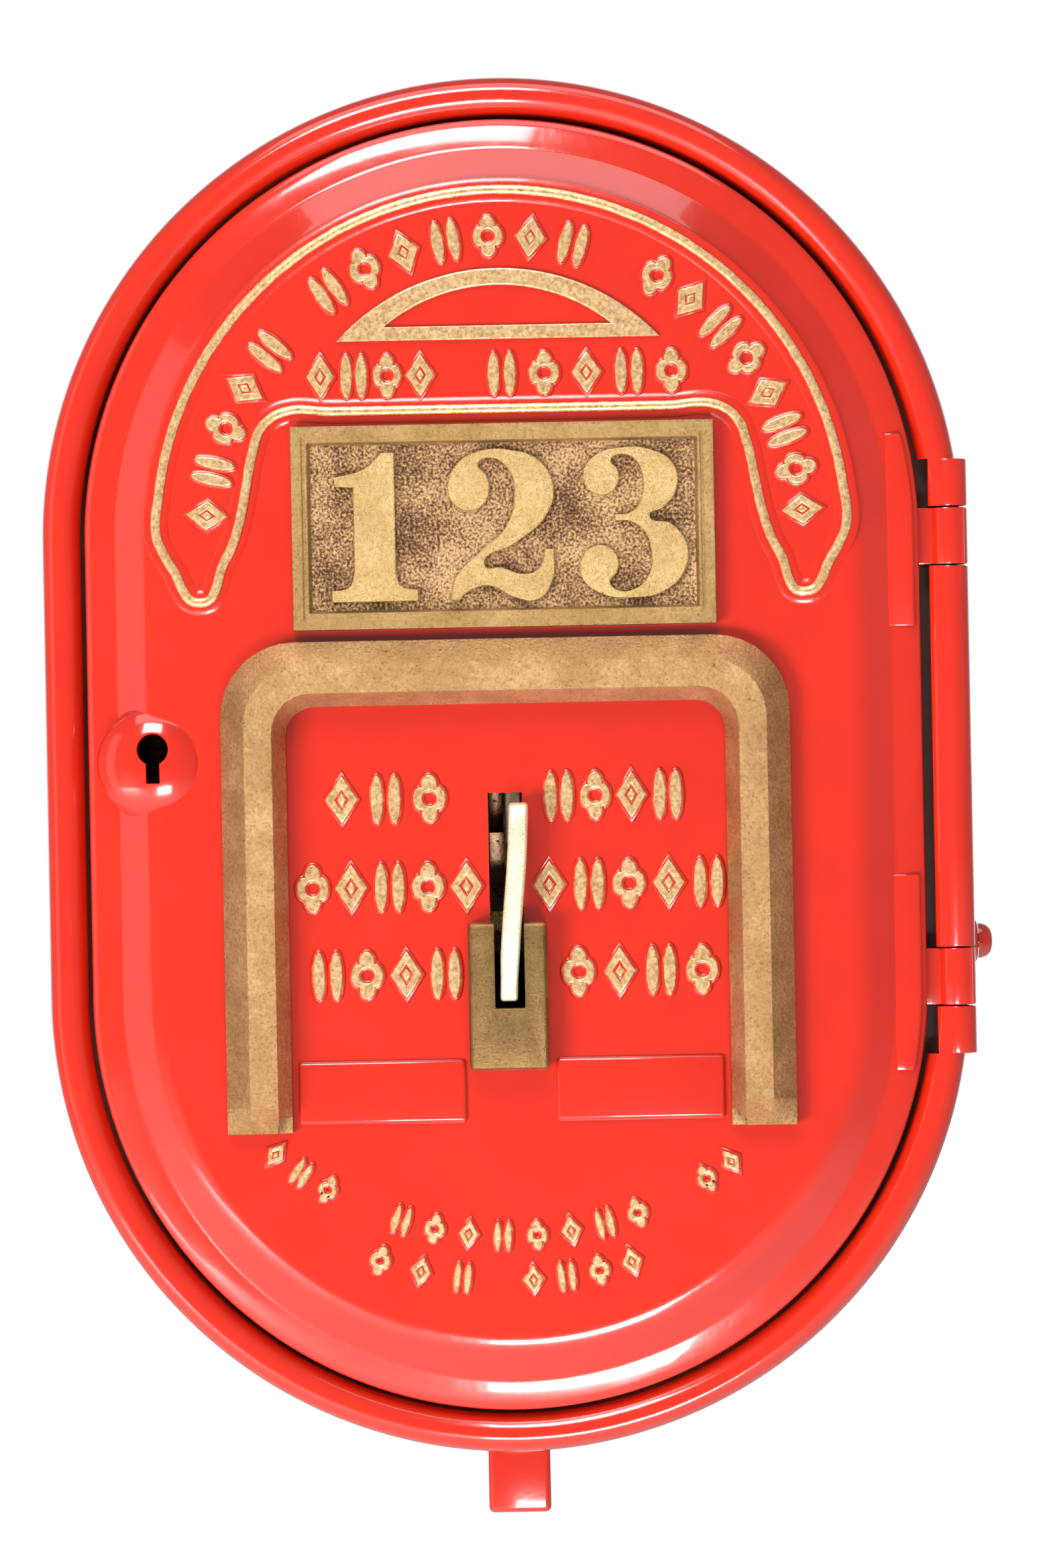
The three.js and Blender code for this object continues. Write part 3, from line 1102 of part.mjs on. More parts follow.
// the wheel whose rim carries the box's code: teeth in groups of one, two and three
function codeWheel() {
  const tooth = 0.2; // angle of a tooth and of the space after it, radians
  const pause = 0.55;
  const outline = [];
  let angle = 0.4;
  const deep = 3;
  for (const count of [1, 2, 3]) {
    for (let i = 0; i < count; i++) {
      outline.push([angle, CODE_WHEEL_R - deep], [angle + 0.03, CODE_WHEEL_R]);
      outline.push([angle + tooth - 0.03, CODE_WHEEL_R], [angle + tooth, CODE_WHEEL_R - deep]);
      angle += 2 * tooth;
    }
    angle += pause;
  }
  const end = 2 * Math.PI + 0.2;
  const base = CODE_WHEEL_R - deep;
  for (let i = 0; i <= 8; i++) outline.push([angle + ((end - angle) * i) / 8, base]);
  const points = outline.map(([turn, radius]) => {
    return new THREE.Vector2(codeAt.x + radius * Math.cos(turn), codeAt.z + radius * Math.sin(turn));
  });
  const body = plate(new THREE.Shape(points), CODE_WHEEL_BACK, CODE_WHEEL_BACK - WHEEL_THICK);
  const { x, z } = codeAt;
  return body.subtract(rodY(x, z, ARBOR_R + FIT, CODE_WHEEL_BACK - 5, CODE_WHEEL_BACK + 1, 12));
}
piece("code_wheel", codeWheel(), brass);

function smallArbor(at, pinionBack, pinionFront, phase, radius) {
  const { x, z } = at;
  return join([
    wheel(at, SMALL_PINION, pinionBack, pinionFront, 0, phase),
    rodY(x, z, PIVOT_R, FRONT_PLATE_FRONT + 0.2, REAR_PLATE_BACK - 0.2, 12),
    rodY(x, z, radius, FRONT_PLATE_BACK + FIT, REAR_PLATE_FRONT - FIT, 12),
  ]);
}
const interPhase = gapTowards(bearing(interAt, codeAt), SMALL_PINION);
const interArbor = smallArbor(interAt, DRIVE_BACK + 1, DRIVE_FRONT - 1, interPhase, ARBOR_R);
piece("intermediate_arbor", interArbor, steel);
const INTER_FRONT = INTER_BACK - WHEEL_THICK;
const interBore = ARBOR_R + FIT;
const interWheel = wheel(interAt, INTER_TEETH, INTER_BACK, INTER_FRONT, interBore, FLY_BEARING, 5);
piece("intermediate_wheel", interWheel, brass);
const flyPhase = gapTowards(bearing(flyAt, interAt), SMALL_PINION);
const FLY_ARBOR_R = 2;
const flyArbor = smallArbor(flyAt, INTER_BACK + 1, INTER_FRONT - 1, flyPhase, FLY_ARBOR_R);
piece("fly_arbor", flyArbor, steel);

function governorFly() {
  const { x, z } = flyAt;
  const back = INTER_BACK - 8;
  const front = back - 11;
  const hub = rodY(x, z, 4.4, front - 0.5, back + 0.5);
  const blades = block(x - FLY_R, x + FLY_R, front, back, z - 0.6, z + 0.6);
  return hub.add(blades).subtract(rodY(x, z, FLY_ARBOR_R + FIT, front - 2, back + 2, 12));
}
piece("governor_fly", governorFly(), brass);

// ---------------------------------------------------------------- contacts, terminals and leads

const CONTACT = { left: -46, right: -29, low: 86, high: 99 };
const CONTACT_DEEP = 11;
const STRIP = 0.6;
const STRIP_END = 3; // past the code wheel's centre
const STRIP_Y = CODE_WHEEL_BACK - WHEEL_THICK / 2;
const STRIP_HALF = 2.6;
const TOP_STRIP_Z = CONTACT.low + 4.2;

function contactBlock() {
  const back = FRONT_PLATE_FRONT - FIT;
  const body = block(CONTACT.left, CONTACT.right, back - CONTACT_DEEP, back, CONTACT.low, CONTACT.high);
  const half = STRIP_HALF + FIT;
  const slotLow = TOP_STRIP_Z - FIT;
  const slotHigh = TOP_STRIP_Z + STRIP + FIT;
  const left = CONTACT.left - 1;
  return body.subtract(block(left, CONTACT.right + 1, STRIP_Y - half, STRIP_Y + half, slotLow, slotHigh));
}
piece("contact_block", contactBlock(), fibre);

function contactSpring(z, tipZ) {
  const strip = block(CONTACT.left - 3, STRIP_END, STRIP_Y - STRIP_HALF, STRIP_Y + STRIP_HALF, z, z + STRIP);
  return strip.add(rodZ(codeAt.x, STRIP_Y, 1.2, tipZ, z + STRIP / 2, 10));
}
const wheelTop = codeAt.z + CODE_WHEEL_R;
const LOW_STRIP_Z = CONTACT.low - FIT - STRIP;
piece("contact_spring_1", contactSpring(LOW_STRIP_Z, wheelTop + 0.35), brass);
piece("contact_spring_2", contactSpring(TOP_STRIP_Z, LOW_STRIP_Z + STRIP + 0.8), brass);

const TERMINAL_DEEP = 14;

function terminalBlock() {
  const back = -BACK - FIT;
  const front = back - TERMINAL_DEEP;
  const body = block(-36, 36, front, back, TERMINAL_Z - 9, TERMINAL_Z + 9);
  return cut(body, TERMINAL_SCREWS.map((x) => rodY(x, TERMINAL_Z, 1.8, front - 1, back + 1, 8)));
}
piece("terminal_block", terminalBlock(), fibre);

TERMINAL_SCREWS.forEach((x, i) => {
  const face = -BACK - FIT - TERMINAL_DEEP - FIT;
  const profile = [[0, face - 12], [2, face - 12], [2, face - 6], [4.6, face - 6], [5, face - 5]];
  profile.push([5, face], [1.5, face], [1.5, -BACK + 3], [0, -BACK + 3]);
  piece(`binding_post_${i + 1}`, turned(x, TERMINAL_Z, profile, 12), brass);
});

// internal leads from the binding posts to the contact springs, clipped along the left side
const LEAD_R = 1.1;
const LEAD_ROUTES = [
  [
    [TERMINAL_SCREWS[0] - 3.4, -30, TERMINAL_Z],
    [-60, -34, -104],
    [-92, -44, -64],
    [-97, -54, 0],
    [-94, -62, 56],
    [-76, STRIP_Y, 86],
    [CONTACT.left - 3 - LEAD_R - FIT, STRIP_Y, TOP_STRIP_Z + 1],
  ],
  [
    [TERMINAL_SCREWS[1] - 3.4, -30, TERMINAL_Z + 1],
    [4, -33, -96],
    [-50, -36, -84],
    [-84, -46, -52],
    [-90, -56, 4],
    [-86, -63, 50],
    [-70, STRIP_Y, 76],
    [CONTACT.left - 3 - LEAD_R - FIT, STRIP_Y, LOW_STRIP_Z],
  ],
];
LEAD_ROUTES.forEach((route, i) => piece(`lead_${i + 1}`, wire(route, LEAD_R, 24), cloth));

export default alarmBox;
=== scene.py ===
"""Street fire alarm box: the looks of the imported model.

Pieces are shaped in millimetres, and finish_piece() turns them to metres in the model's own frame.
X is right, Z is up, the wall face is Y = 0 and the front faces -Y.
"""

import json
import math

import bpy
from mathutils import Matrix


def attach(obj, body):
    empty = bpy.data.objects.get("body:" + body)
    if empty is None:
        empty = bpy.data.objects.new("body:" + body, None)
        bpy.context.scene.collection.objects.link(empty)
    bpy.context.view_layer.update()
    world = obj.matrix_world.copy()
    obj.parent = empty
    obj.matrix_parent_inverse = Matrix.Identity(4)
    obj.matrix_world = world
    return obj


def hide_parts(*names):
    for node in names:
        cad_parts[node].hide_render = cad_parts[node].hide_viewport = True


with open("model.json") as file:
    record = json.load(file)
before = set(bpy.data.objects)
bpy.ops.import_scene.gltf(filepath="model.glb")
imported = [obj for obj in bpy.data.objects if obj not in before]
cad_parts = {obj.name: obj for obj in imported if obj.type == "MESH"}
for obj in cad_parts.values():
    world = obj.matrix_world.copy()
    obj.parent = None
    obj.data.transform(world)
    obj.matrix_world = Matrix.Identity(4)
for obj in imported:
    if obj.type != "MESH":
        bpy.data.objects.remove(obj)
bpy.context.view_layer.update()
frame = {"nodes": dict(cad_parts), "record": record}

MM = 0.001

# ---------------------------------------------------------------- sizes, in millimetres

HALF = 69  # centre height of the end rounds
RIM_R = 139.2
RIM_INNER_R = 127.5
RIM_FRONT = -92
RIM_MIDDLE_R = 133.95
RIM_MIDDLE_Y = -85.6
WALL_R = 136
WALL_IN = 131
WALL_FRONT = -76.5
BACK = 6
LEDGE_R = 120
LEDGE_FRONT = -81
LEDGE_BACK = -76
HOLE_X = 80  # the four wall holes
HOLE_Z = 128
HOLE_R = 4.2
CABLE_Z = -165
CABLE_R = 11
BOSS_X = (-74, 70)  # the bosses that carry the movement
BOSS_Z = (14, 112)
SCREW_X = 143.7  # under the side screw's head
SCREW_Y = -64
SCREW_Z = -56.7

DOOR_R = 126
DOOR_BACK = -82.4
LIP_FRONT = -94.1
FIELD_FRONT = -101.5
COVE_R = 117.4
FIELD_R = 105
CAVITY_R = 106
CAVITY_FRONT = -97

HINGE_X = 135.1
HINGE_Y = -86.2
BARREL_R = 6
BARREL_TOP = 57.6
KNUCKLE_TOP = 75.2
HINGE_GAP = 0.4
END_TOP = 89.9
POCKET_R = 9

LOCK_X = -105.8
LOCK_Z = 2.4
BOSS_FRONT = -104.6
KEY_R = 4.7
KEY_HALF = 2.05
KEY_RISE = 4  # from the boss's middle up to the middle of the keyhole's round

SLOT_LEFT = -5.6
SLOT_RIGHT = 4.6
SLOT_TOP = -8.5
SLOT_BOTTOM = -74
PIVOT = (1.8, -85.5, 6)  # middle of the hook's pin

FOOT_Y = -46
FOOT_HALF = 9.6
FOOT_BOTTOM = -231
FOOT_TOP = -HALF - WALL_IN - 1

ROUND_SIDES = 192  # sides of the box's and door's end rounds
TURNED_SIDES = 64

# ---------------------------------------------------------------- camera and light

FRAME_TALL = 473.4  # height of the picture at the front of the rim
FRAME_X = 4
FRAME_Z = -6
CAMERA_AWAY = 1600
SENSOR = 36
ROLL = 1.1  # degrees


def set_camera():
    """A long lens square to the front of the box."""
    bpy.ops.object.camera_add(
        location=(FRAME_X * MM, (RIM_FRONT - CAMERA_AWAY) * MM, FRAME_Z * MM),
        rotation=(math.pi / 2, math.radians(ROLL), 0),
    )
    camera = bpy.context.object
    camera.data.sensor_width = SENSOR
    camera.data.lens = SENSOR * CAMERA_AWAY / FRAME_TALL
    camera.data.clip_start = 0.05
    bpy.context.scene.camera = camera


def soft_light(name, place, aim, wide, tall, power, mirrored=True):
    """A rectangular soft box that faces a point; one that isn't mirrored shows in no gloss."""
    bpy.ops.object.light_add(type="AREA", location=place)
    light = bpy.context.object
    light.name = name
    light.data.shape = "RECTANGLE"
    light.data.size = wide
    light.data.size_y = tall
    light.data.energy = power
    direction = light.location.copy()
    direction.x -= aim[0]
    direction.y -= aim[1]
    direction.z -= aim[2]
    light.rotation_euler = direction.to_track_quat("Z", "Y").to_euler()
    light.visible_camera = False
    light.visible_glossy = mirrored


def add(tree, kind, inputs=None, **settings):
    """Adds one node with its settings; an input is a value, or another node's output to link."""
    node = tree.nodes.new(kind)
    for key, value in settings.items():
        setattr(node, key, value)
    for key, value in (inputs or {}).items():
        if isinstance(value, bpy.types.NodeSocket):
            tree.links.new(value, node.inputs[key])
        else:
            node.inputs[key].default_value = value
    return node


def studio_world():
    """Soft grey in front of the object, and a white wall behind it."""
    world = bpy.data.worlds.new("studio")
    world.use_nodes = True
    tree = world.node_tree
    tree.nodes.clear()
    direction = add(tree, "ShaderNodeTexCoord").outputs["Generated"]
    depth = add(tree, "ShaderNodeSeparateXYZ", {0: direction}).outputs["Y"]
    steps = {"From Min": 0.6, "From Max": 0.96, "To Min": 0.26, "To Max": 1.05}
    level = add(tree, "ShaderNodeMapRange", {"Value": depth, **steps}, interpolation_type="SMOOTHSTEP")
    sky = add(tree, "ShaderNodeBackground", {"Color": (1, 1, 1, 1), "Strength": level.outputs[0]})
    add(tree, "ShaderNodeOutputWorld", {"Surface": sky.outputs[0]})
    bpy.context.scene.world = world


bpy.ops.object.select_all(action="DESELECT")
set_camera()
studio_world()
AIM = (0, -0.09, 0)  # middle of the box's front, in metres
soft_light("fill", (-1.15, -1.5, -0.75), AIM, 0.8, 0.8, 66, mirrored=False)
soft_light("left_box", (-1.55, -0.75, 0.1), AIM, 0.7, 2.0, 2.4)
soft_light("overhead", (0, -0.60, 1.5), AIM, 1.6, 0.8, 7)
soft_light("top_box", (-0.2, -1.25, 1.15), (0, -0.09, 0.1), 0.6, 0.5, 13)
soft_light("bottom_box", (0.12, -1.2, -0.98), (0, -0.09, -0.1), 0.38, 0.78, 24)
soft_light("right_fill", (1.7, -0.5, 0.4), (0, -0.05, 0), 0.8, 0.8, 8, mirrored=False)
bpy.context.scene.view_settings.view_transform = "Standard"

# ---------------------------------------------------------------- materials


def linear(colour):
    """An sRGB hex colour as linear red, green, blue, alpha."""
    channels = []
    for start in (1, 3, 5):
        value = int(colour[start:start + 2], 16) / 255
        low = value / 12.92
        high = ((value + 0.055) / 1.055) ** 2.4
        channels.append(low if value <= 0.04045 else high)
    return (*channels, 1)


def per(size):
    """The scale of a pattern whose features are that many millimetres across."""
    return 1 / (size * MM)


def new_material(name):
    """An empty material, its node tree, and its Principled shader."""
    material = bpy.data.materials.new(name)
    material.use_nodes = True
    tree = material.node_tree
    tree.nodes.clear()
    shader = add(tree, "ShaderNodeBsdfPrincipled")
    add(tree, "ShaderNodeOutputMaterial", {"Surface": shader.outputs[0]})
    return material, tree, shader


def enamel_colour(tree, place):
    """Colour and bump of brushed-on gloss enamel over rough iron: long soft waves and fine dust."""
    brushed = {"Scale": per(22), "Detail": 2, "Roughness": 0.45}
    waves = add(tree, "ShaderNodeTexNoise", {"Vector": place, **brushed})
    specks = {"Scale": per(1.6), "Detail": 3, "Roughness": 0.6}
    dust = add(tree, "ShaderNodeTexNoise", {"Vector": place, **specks})
    tone = add(
        tree,
        "ShaderNodeMix",
        {"Factor": waves.outputs[0], 6: linear("#B41E0C"), 7: linear("#C2240F")},
        data_type="RGBA",
    )
    soft = {"Strength": 0.5, "Distance": 0.6 * MM}
    swell = add(tree, "ShaderNodeBump", {"Height": waves.outputs[0], **soft})
    grain = add(
        tree,
        "ShaderNodeBump",
        {"Height": dust.outputs[0], "Strength": 0.25, "Distance": 0.12 * MM, "Normal": swell.outputs[0]},
    )
    return tone.outputs[2], grain.outputs[0]


def red_enamel():
    """Gloss enamel, brushed over cast iron: a deep even red under a clear hard film."""
    material, tree, shader = new_material("gloss_red_enamel")
    place = add(tree, "ShaderNodeTexCoord").outputs["Object"]
    colour, bump = enamel_colour(tree, place)
    tree.links.new(colour, shader.inputs["Base Color"])
    tree.links.new(bump, shader.inputs["Normal"])
    shader.inputs["Roughness"].default_value = 0.16
    shader.inputs["IOR"].default_value = 1.52
    shader.inputs["Coat Weight"].default_value = 1
    shader.inputs["Coat Roughness"].default_value = 0.05
    return material


def gilded_enamel(level):
    """Red enamel whose high spots carry gold bronze paint, dabbed on with a brush."""
    material, tree, shader = new_material("gold_paint_on_enamel")
    place = add(tree, "ShaderNodeTexCoord").outputs["Object"]
    red, bump = enamel_colour(tree, place)
    depth = add(tree, "ShaderNodeSeparateXYZ", {0: place}).outputs["Y"]
    edge = add(tree, "ShaderNodeTexNoise", {"Vector": place, "Scale": per(2.4), "Detail": 3})
    reach = add(
        tree,
        "ShaderNodeMath",
        {0: edge.outputs[0], 1: -0.4 * MM, 2: depth},
        operation="MULTIPLY_ADD",
    )
    steps = {"From Min": (level + 0.12) * MM, "From Max": (level - 0.12) * MM}
    gilt = add(tree, "ShaderNodeMapRange", {"Value": reach.outputs[0], **steps})
    strokes = {"Scale": per(1.1), "Detail": 4, "Roughness": 0.7}
    brush = add(tree, "ShaderNodeTexNoise", {"Vector": place, **strokes})
    gold = add(tree, "ShaderNodeValToRGB", {"Fac": brush.outputs[0]})
    gold.color_ramp.elements[0].position = 0.34
    gold.color_ramp.elements[0].color = linear("#B48250")
    gold.color_ramp.elements[1].position = 0.66
    gold.color_ramp.elements[1].color = linear("#F6D29C")
    colour = add(
        tree,
        "ShaderNodeMix",
        {"Factor": gilt.outputs[0], 6: red, 7: gold.outputs[0]},
        data_type="RGBA",
    )
    rough = add(tree, "ShaderNodeMapRange", {"Value": gilt.outputs[0], "To Min": 0.14, "To Max": 0.3})
    metal = add(tree, "ShaderNodeMapRange", {"Value": gilt.outputs[0], "To Min": 0, "To Max": 0.55})
    flake = add(
        tree,
        "ShaderNodeBump",
        {"Height": brush.outputs[0], "Strength": 0.35, "Distance": 0.3 * MM, "Normal": bump},
    )
    tree.links.new(colour.outputs[2], shader.inputs["Base Color"])
    tree.links.new(rough.outputs[0], shader.inputs["Roughness"])
    tree.links.new(metal.outputs[0], shader.inputs["Metallic"])
    tree.links.new(flake.outputs[0], shader.inputs["Normal"])
    shader.inputs["IOR"].default_value = 1.52
    shader.inputs["Coat Weight"].default_value = 0.8
    shader.inputs["Coat Roughness"].default_value = 0.06
    return material


def cast_metal(
    name,
    colours,
    pit,
    grain,
    rough,
    blotch=14,
    hollow="#2A1A10",
    hollow_share=0.3,
    metal=1,
    tarnish_and_shade=0.5,
    lift=0.2,
):
    """A cast or worked metal: blotches, pits and a fine grain, with tarnish and painted shade darkening its
    corners; sizes in mm.
    """
    dark, mid, bright = colours
    material, tree, shader = new_material(name)
    place = add(tree, "ShaderNodeTexCoord").outputs["Object"]
    cloudy = {"Scale": per(blotch), "Detail": 5, "Roughness": 0.62}
    patches = add(tree, "ShaderNodeTexNoise", {"Vector": place, **cloudy})
    sandy = {"Scale": per(grain), "Detail": 4, "Roughness": 0.7}
    fine = add(tree, "ShaderNodeTexNoise", {"Vector": place, **sandy})
    share = add(tree, "ShaderNodeMath", {0: patches.outputs[0], 1: 0.45}, operation="MULTIPLY")
    both = add(
        tree,
        "ShaderNodeMath",
        {0: fine.outputs[0], 1: 0.55, 2: share.outputs[0]},
        operation="MULTIPLY_ADD",
    )
    tone = add(tree, "ShaderNodeValToRGB", {"Fac": both.outputs[0]})
    tone.color_ramp.elements[0].position = 0.36
    tone.color_ramp.elements[0].color = linear(dark)
    tone.color_ramp.elements[1].position = 0.64
    tone.color_ramp.elements[1].color = linear(bright)
    tone.color_ramp.elements.new(0.49).color = linear(mid)
    sparse = {"Scale": per(pit), "Detail": 2, "Roughness": 0.5}
    pits = add(tree, "ShaderNodeTexNoise", {"Vector": place, **sparse})
    steps = {"From Min": hollow_share, "From Max": hollow_share + 0.1, "To Min": 1, "To Max": 0}
    deep = add(tree, "ShaderNodeMapRange", {"Value": pits.outputs[0], **steps})
    pitted = add(
        tree,
        "ShaderNodeMix",
        {"Factor": deep.outputs[0], 6: tone.outputs[0], 7: linear(hollow)},
        data_type="RGBA",
    )
    # corners, creases and the foot of the piece darken towards the hollow colour by ambient occlusion:
    # partly tarnish, partly painted shade
    corner = add(tree, "ShaderNodeAmbientOcclusion", {"Distance": 5 * MM}, samples=8)
    steps = {"From Min": 0.25, "From Max": 0.85, "To Min": tarnish_and_shade, "To Max": 0}
    shade = add(tree, "ShaderNodeMapRange", {"Value": corner.outputs["AO"], **steps})
    aged_and_shaded = add(
        tree,
        "ShaderNodeMix",
        {"Factor": shade.outputs[0], 6: pitted.outputs[2], 7: linear(hollow)},
        data_type="RGBA",
    )
    steps = {"From Min": 0.3, "From Max": 0.7, "To Min": rough - 0.08, "To Max": rough + 0.12}
    spread = add(tree, "ShaderNodeMapRange", {"Value": fine.outputs[0], **steps})
    relief = add(
        tree,
        "ShaderNodeMath",
        {0: deep.outputs[0], 1: -0.8, 2: fine.outputs[0]},
        operation="MULTIPLY_ADD",
    )
    height = {"Strength": 0.7, "Distance": lift * MM}
    bump = add(tree, "ShaderNodeBump", {"Height": relief.outputs[0], **height})
    tree.links.new(aged_and_shaded.outputs[2], shader.inputs["Base Color"])
    tree.links.new(spread.outputs[0], shader.inputs["Roughness"])
    tree.links.new(bump.outputs[0], shader.inputs["Normal"])
    shader.inputs["Metallic"].default_value = metal
    return material


def granular_ground():
    """The number plate's sunk ground: coarse cast sand grain, brown in its hollows, gold on its tops."""
    material, tree, shader = new_material("sand_cast_brass_ground")
    place = add(tree, "ShaderNodeTexCoord").outputs["Object"]
    sandy = {"Scale": per(0.8), "Detail": 3, "Roughness": 0.6}
    grains = add(tree, "ShaderNodeTexNoise", {"Vector": place, **sandy})
    cloudy = {"Scale": per(17), "Detail": 4, "Roughness": 0.6}
    patches = add(tree, "ShaderNodeTexNoise", {"Vector": place, **cloudy})
    mixed = add(
        tree,
        "ShaderNodeMath",
        {0: patches.outputs[0], 1: 0.6, 2: grains.outputs[0]},
        operation="MULTIPLY_ADD",
    )
    tone = add(tree, "ShaderNodeValToRGB", {"Fac": mixed.outputs[0]})
    tone.color_ramp.elements[0].position = 0.66
    tone.color_ramp.elements[0].color = linear("#4A2C20")
    tone.color_ramp.elements[1].position = 0.93
    tone.color_ramp.elements[1].color = linear("#D8B07E")
    tone.color_ramp.elements.new(0.77).color = linear("#84603F")
    height = {"Strength": 1, "Distance": 0.7 * MM}
    bump = add(tree, "ShaderNodeBump", {"Height": grains.outputs[0], **height})
    tree.links.new(tone.outputs[0], shader.inputs["Base Color"])
    tree.links.new(bump.outputs[0], shader.inputs["Normal"])
    shader.inputs["Metallic"].default_value = 0.6
    shader.inputs["Roughness"].default_value = 0.5
    return material


def vulcanised_fibre():
    """Vulcanised fibre: dull red-brown pressed paper with a faint fleck."""
    material, tree, shader = new_material("vulcanised_fibre")
    place = add(tree, "ShaderNodeTexCoord").outputs["Object"]
    fleck = add(tree, "ShaderNodeTexNoise", {"Vector": place, "Scale": per(1.5), "Detail": 4})
    tone = add(
        tree,
        "ShaderNodeMix",
        {"Factor": fleck.outputs[0], 6: linear("#2B1912"), 7: linear("#4A2C20")},
        data_type="RGBA",
    )
    height = {"Strength": 0.3, "Distance": 0.1 * MM}
    bump = add(tree, "ShaderNodeBump", {"Height": fleck.outputs[0], **height})
    tree.links.new(tone.outputs[2], shader.inputs["Base Color"])
    tree.links.new(bump.outputs[0], shader.inputs["Normal"])
    shader.inputs["Roughness"].default_value = 0.6
    return material


def cotton_braid():
    """Waxed cotton braid over wire: a black-brown diagonal weave, drawn at 1.2 mm so that it shows."""
    material, tree, shader = new_material("waxed_cotton_braid")
    place = add(tree, "ShaderNodeTexCoord").outputs["Object"]
    weave = add(
        tree,
        "ShaderNodeTexWave",
        {"Vector": place, "Scale": per(1.2) / 3.2, "Distortion": 1.5},
        bands_direction="DIAGONAL",
    )
    tone = add(
        tree,
        "ShaderNodeMix",
        {"Factor": weave.outputs["Fac"], 6: linear("#191614"), 7: linear("#3B342E")},
        data_type="RGBA",
    )
    height = {"Strength": 0.6, "Distance": 0.2 * MM}
    bump = add(tree, "ShaderNodeBump", {"Height": weave.outputs["Fac"], **height})
    tree.links.new(tone.outputs[2], shader.inputs["Base Color"])
    tree.links.new(bump.outputs[0], shader.inputs["Normal"])
    shader.inputs["Roughness"].default_value = 0.75
    shader.inputs["Sheen Weight"].default_value = 0.2
    return material


def inside_painted_shade():
    """A dull, very dark brown-red on the inner faces, dusty: painted shade for the inside of the box and
    door.
    """
    material, tree, shader = new_material("dark_inside_painted_shade")
    place = add(tree, "ShaderNodeTexCoord").outputs["Object"]
    cloudy = {"Scale": per(9), "Detail": 6, "Roughness": 0.65}
    dust = add(tree, "ShaderNodeTexNoise", {"Vector": place, **cloudy})
    tone = add(
        tree,
        "ShaderNodeMix",
        {"Factor": dust.outputs[0], 6: linear("#2A130E"), 7: linear("#4A241A")},
        data_type="RGBA",
    )
    height = {"Strength": 0.4, "Distance": 0.4 * MM}
    bump = add(tree, "ShaderNodeBump", {"Height": dust.outputs[0], **height})
    tree.links.new(tone.outputs[2], shader.inputs["Base Color"])
    tree.links.new(bump.outputs[0], shader.inputs["Normal"])
    shader.inputs["Roughness"].default_value = 0.65
    return material


def pale_floor():
    """Matt white board."""
    material, tree, shader = new_material("matt_white_board")
    shader.inputs["Base Color"].default_value = linear("#F4F4F2")
    shader.inputs["Roughness"].default_value = 0.8
    return material


ENAMEL = red_enamel()
GILT = gilded_enamel(FIELD_FRONT - 1.08)
# gold bronze paint over a brass casting, worn brown, with casting pits
GUARD_BRASS = cast_metal(
    "gold_painted_cast_brass",
    ("#A87C50", "#BC9060", "#DAB07C"),
    pit=1.6, grain=0.9, rough=0.30, blotch=12, hollow="#5E3424", hollow_share=0.17,
    metal=0.85, tarnish_and_shade=0.85, lift=0.6,
)
# a flat casting whose border hands and rags have rubbed
PLATE_BRASS = cast_metal(
    "rubbed_cast_brass",
    ("#9C7A44", "#AE8A58", "#C6A26C"),
    pit=1.6, grain=0.8, rough=0.30, blotch=14, hollow="#4E2E1E", hollow_share=0.14,
    metal=0.8, tarnish_and_shade=0.8, lift=0.5,
)
# the same casting's raised figures, rubbed pale, and paler than the plate as a painted sheen
FIGURE_BRASS = cast_metal(
    "rubbed_brass_figures_painted_sheen",
    ("#C09E66", "#CEAA70", "#E0C086"),
    pit=1.6, grain=0.8, rough=0.26, blotch=10, hollow="#5A341E", hollow_share=0.14,
    metal=0.8, tarnish_and_shade=0.9, lift=0.5,
)
# sand casting left as it came, brown-gold
GUIDE_BRASS = cast_metal(
    "sand_cast_brass",
    ("#8A6840", "#9A784C", "#AE8C5A"),
    pit=1.6, grain=0.7, rough=0.32, blotch=10, hollow="#5A3C24", hollow_share=0.2, lift=0.3,
)
# brass worn pale by hands, its colour lifted nearly to white as a painted highlight
HOOK_BRASS = cast_metal(
    "polished_brass_painted_highlight",
    ("#DCC08A", "#F4E4C0", "#FFF8E4"),
    pit=2.2, grain=0.5, rough=0.3, blotch=11, hollow="#A07E4C", hollow_share=0.2, metal=0.7,
)
# thin copper colour, worn through to brass on its high spots
COPPER = cast_metal(
    "worn_copper_wash",
    ("#9A6E50", "#C09474", "#E2C2A2"),
    pit=2.4, grain=0.6, rough=0.30, blotch=8, hollow="#5A3824", hollow_share=0.28,
)
# machined and lacquered inner parts: smooth, bright, hardly pitted
BRASS = cast_metal(
    "lacquered_brass",
    ("#9A7A3C", "#C7A459", "#DDBF78"),
    pit=3.0, grain=0.35, rough=0.26, blotch=25, hollow="#7A5C2E", hollow_share=0.22,
)
# bar steel turned in a lathe and oiled, grey
STEEL = cast_metal(
    "turned_steel",
    ("#5E5D5A", "#8C8B88", "#B0AFAC"),
    pit=2.0, grain=0.4, rough=0.32, blotch=16, hollow="#3E3A34", hollow_share=0.25,
)
# spring steel heated to a dark blue
BLUED = cast_metal(
    "blued_steel",
    ("#1F2838", "#34435E", "#4C5E80"),
    pit=2.5, grain=0.4, rough=0.28, blotch=12, hollow="#161A22", hollow_share=0.22,
)
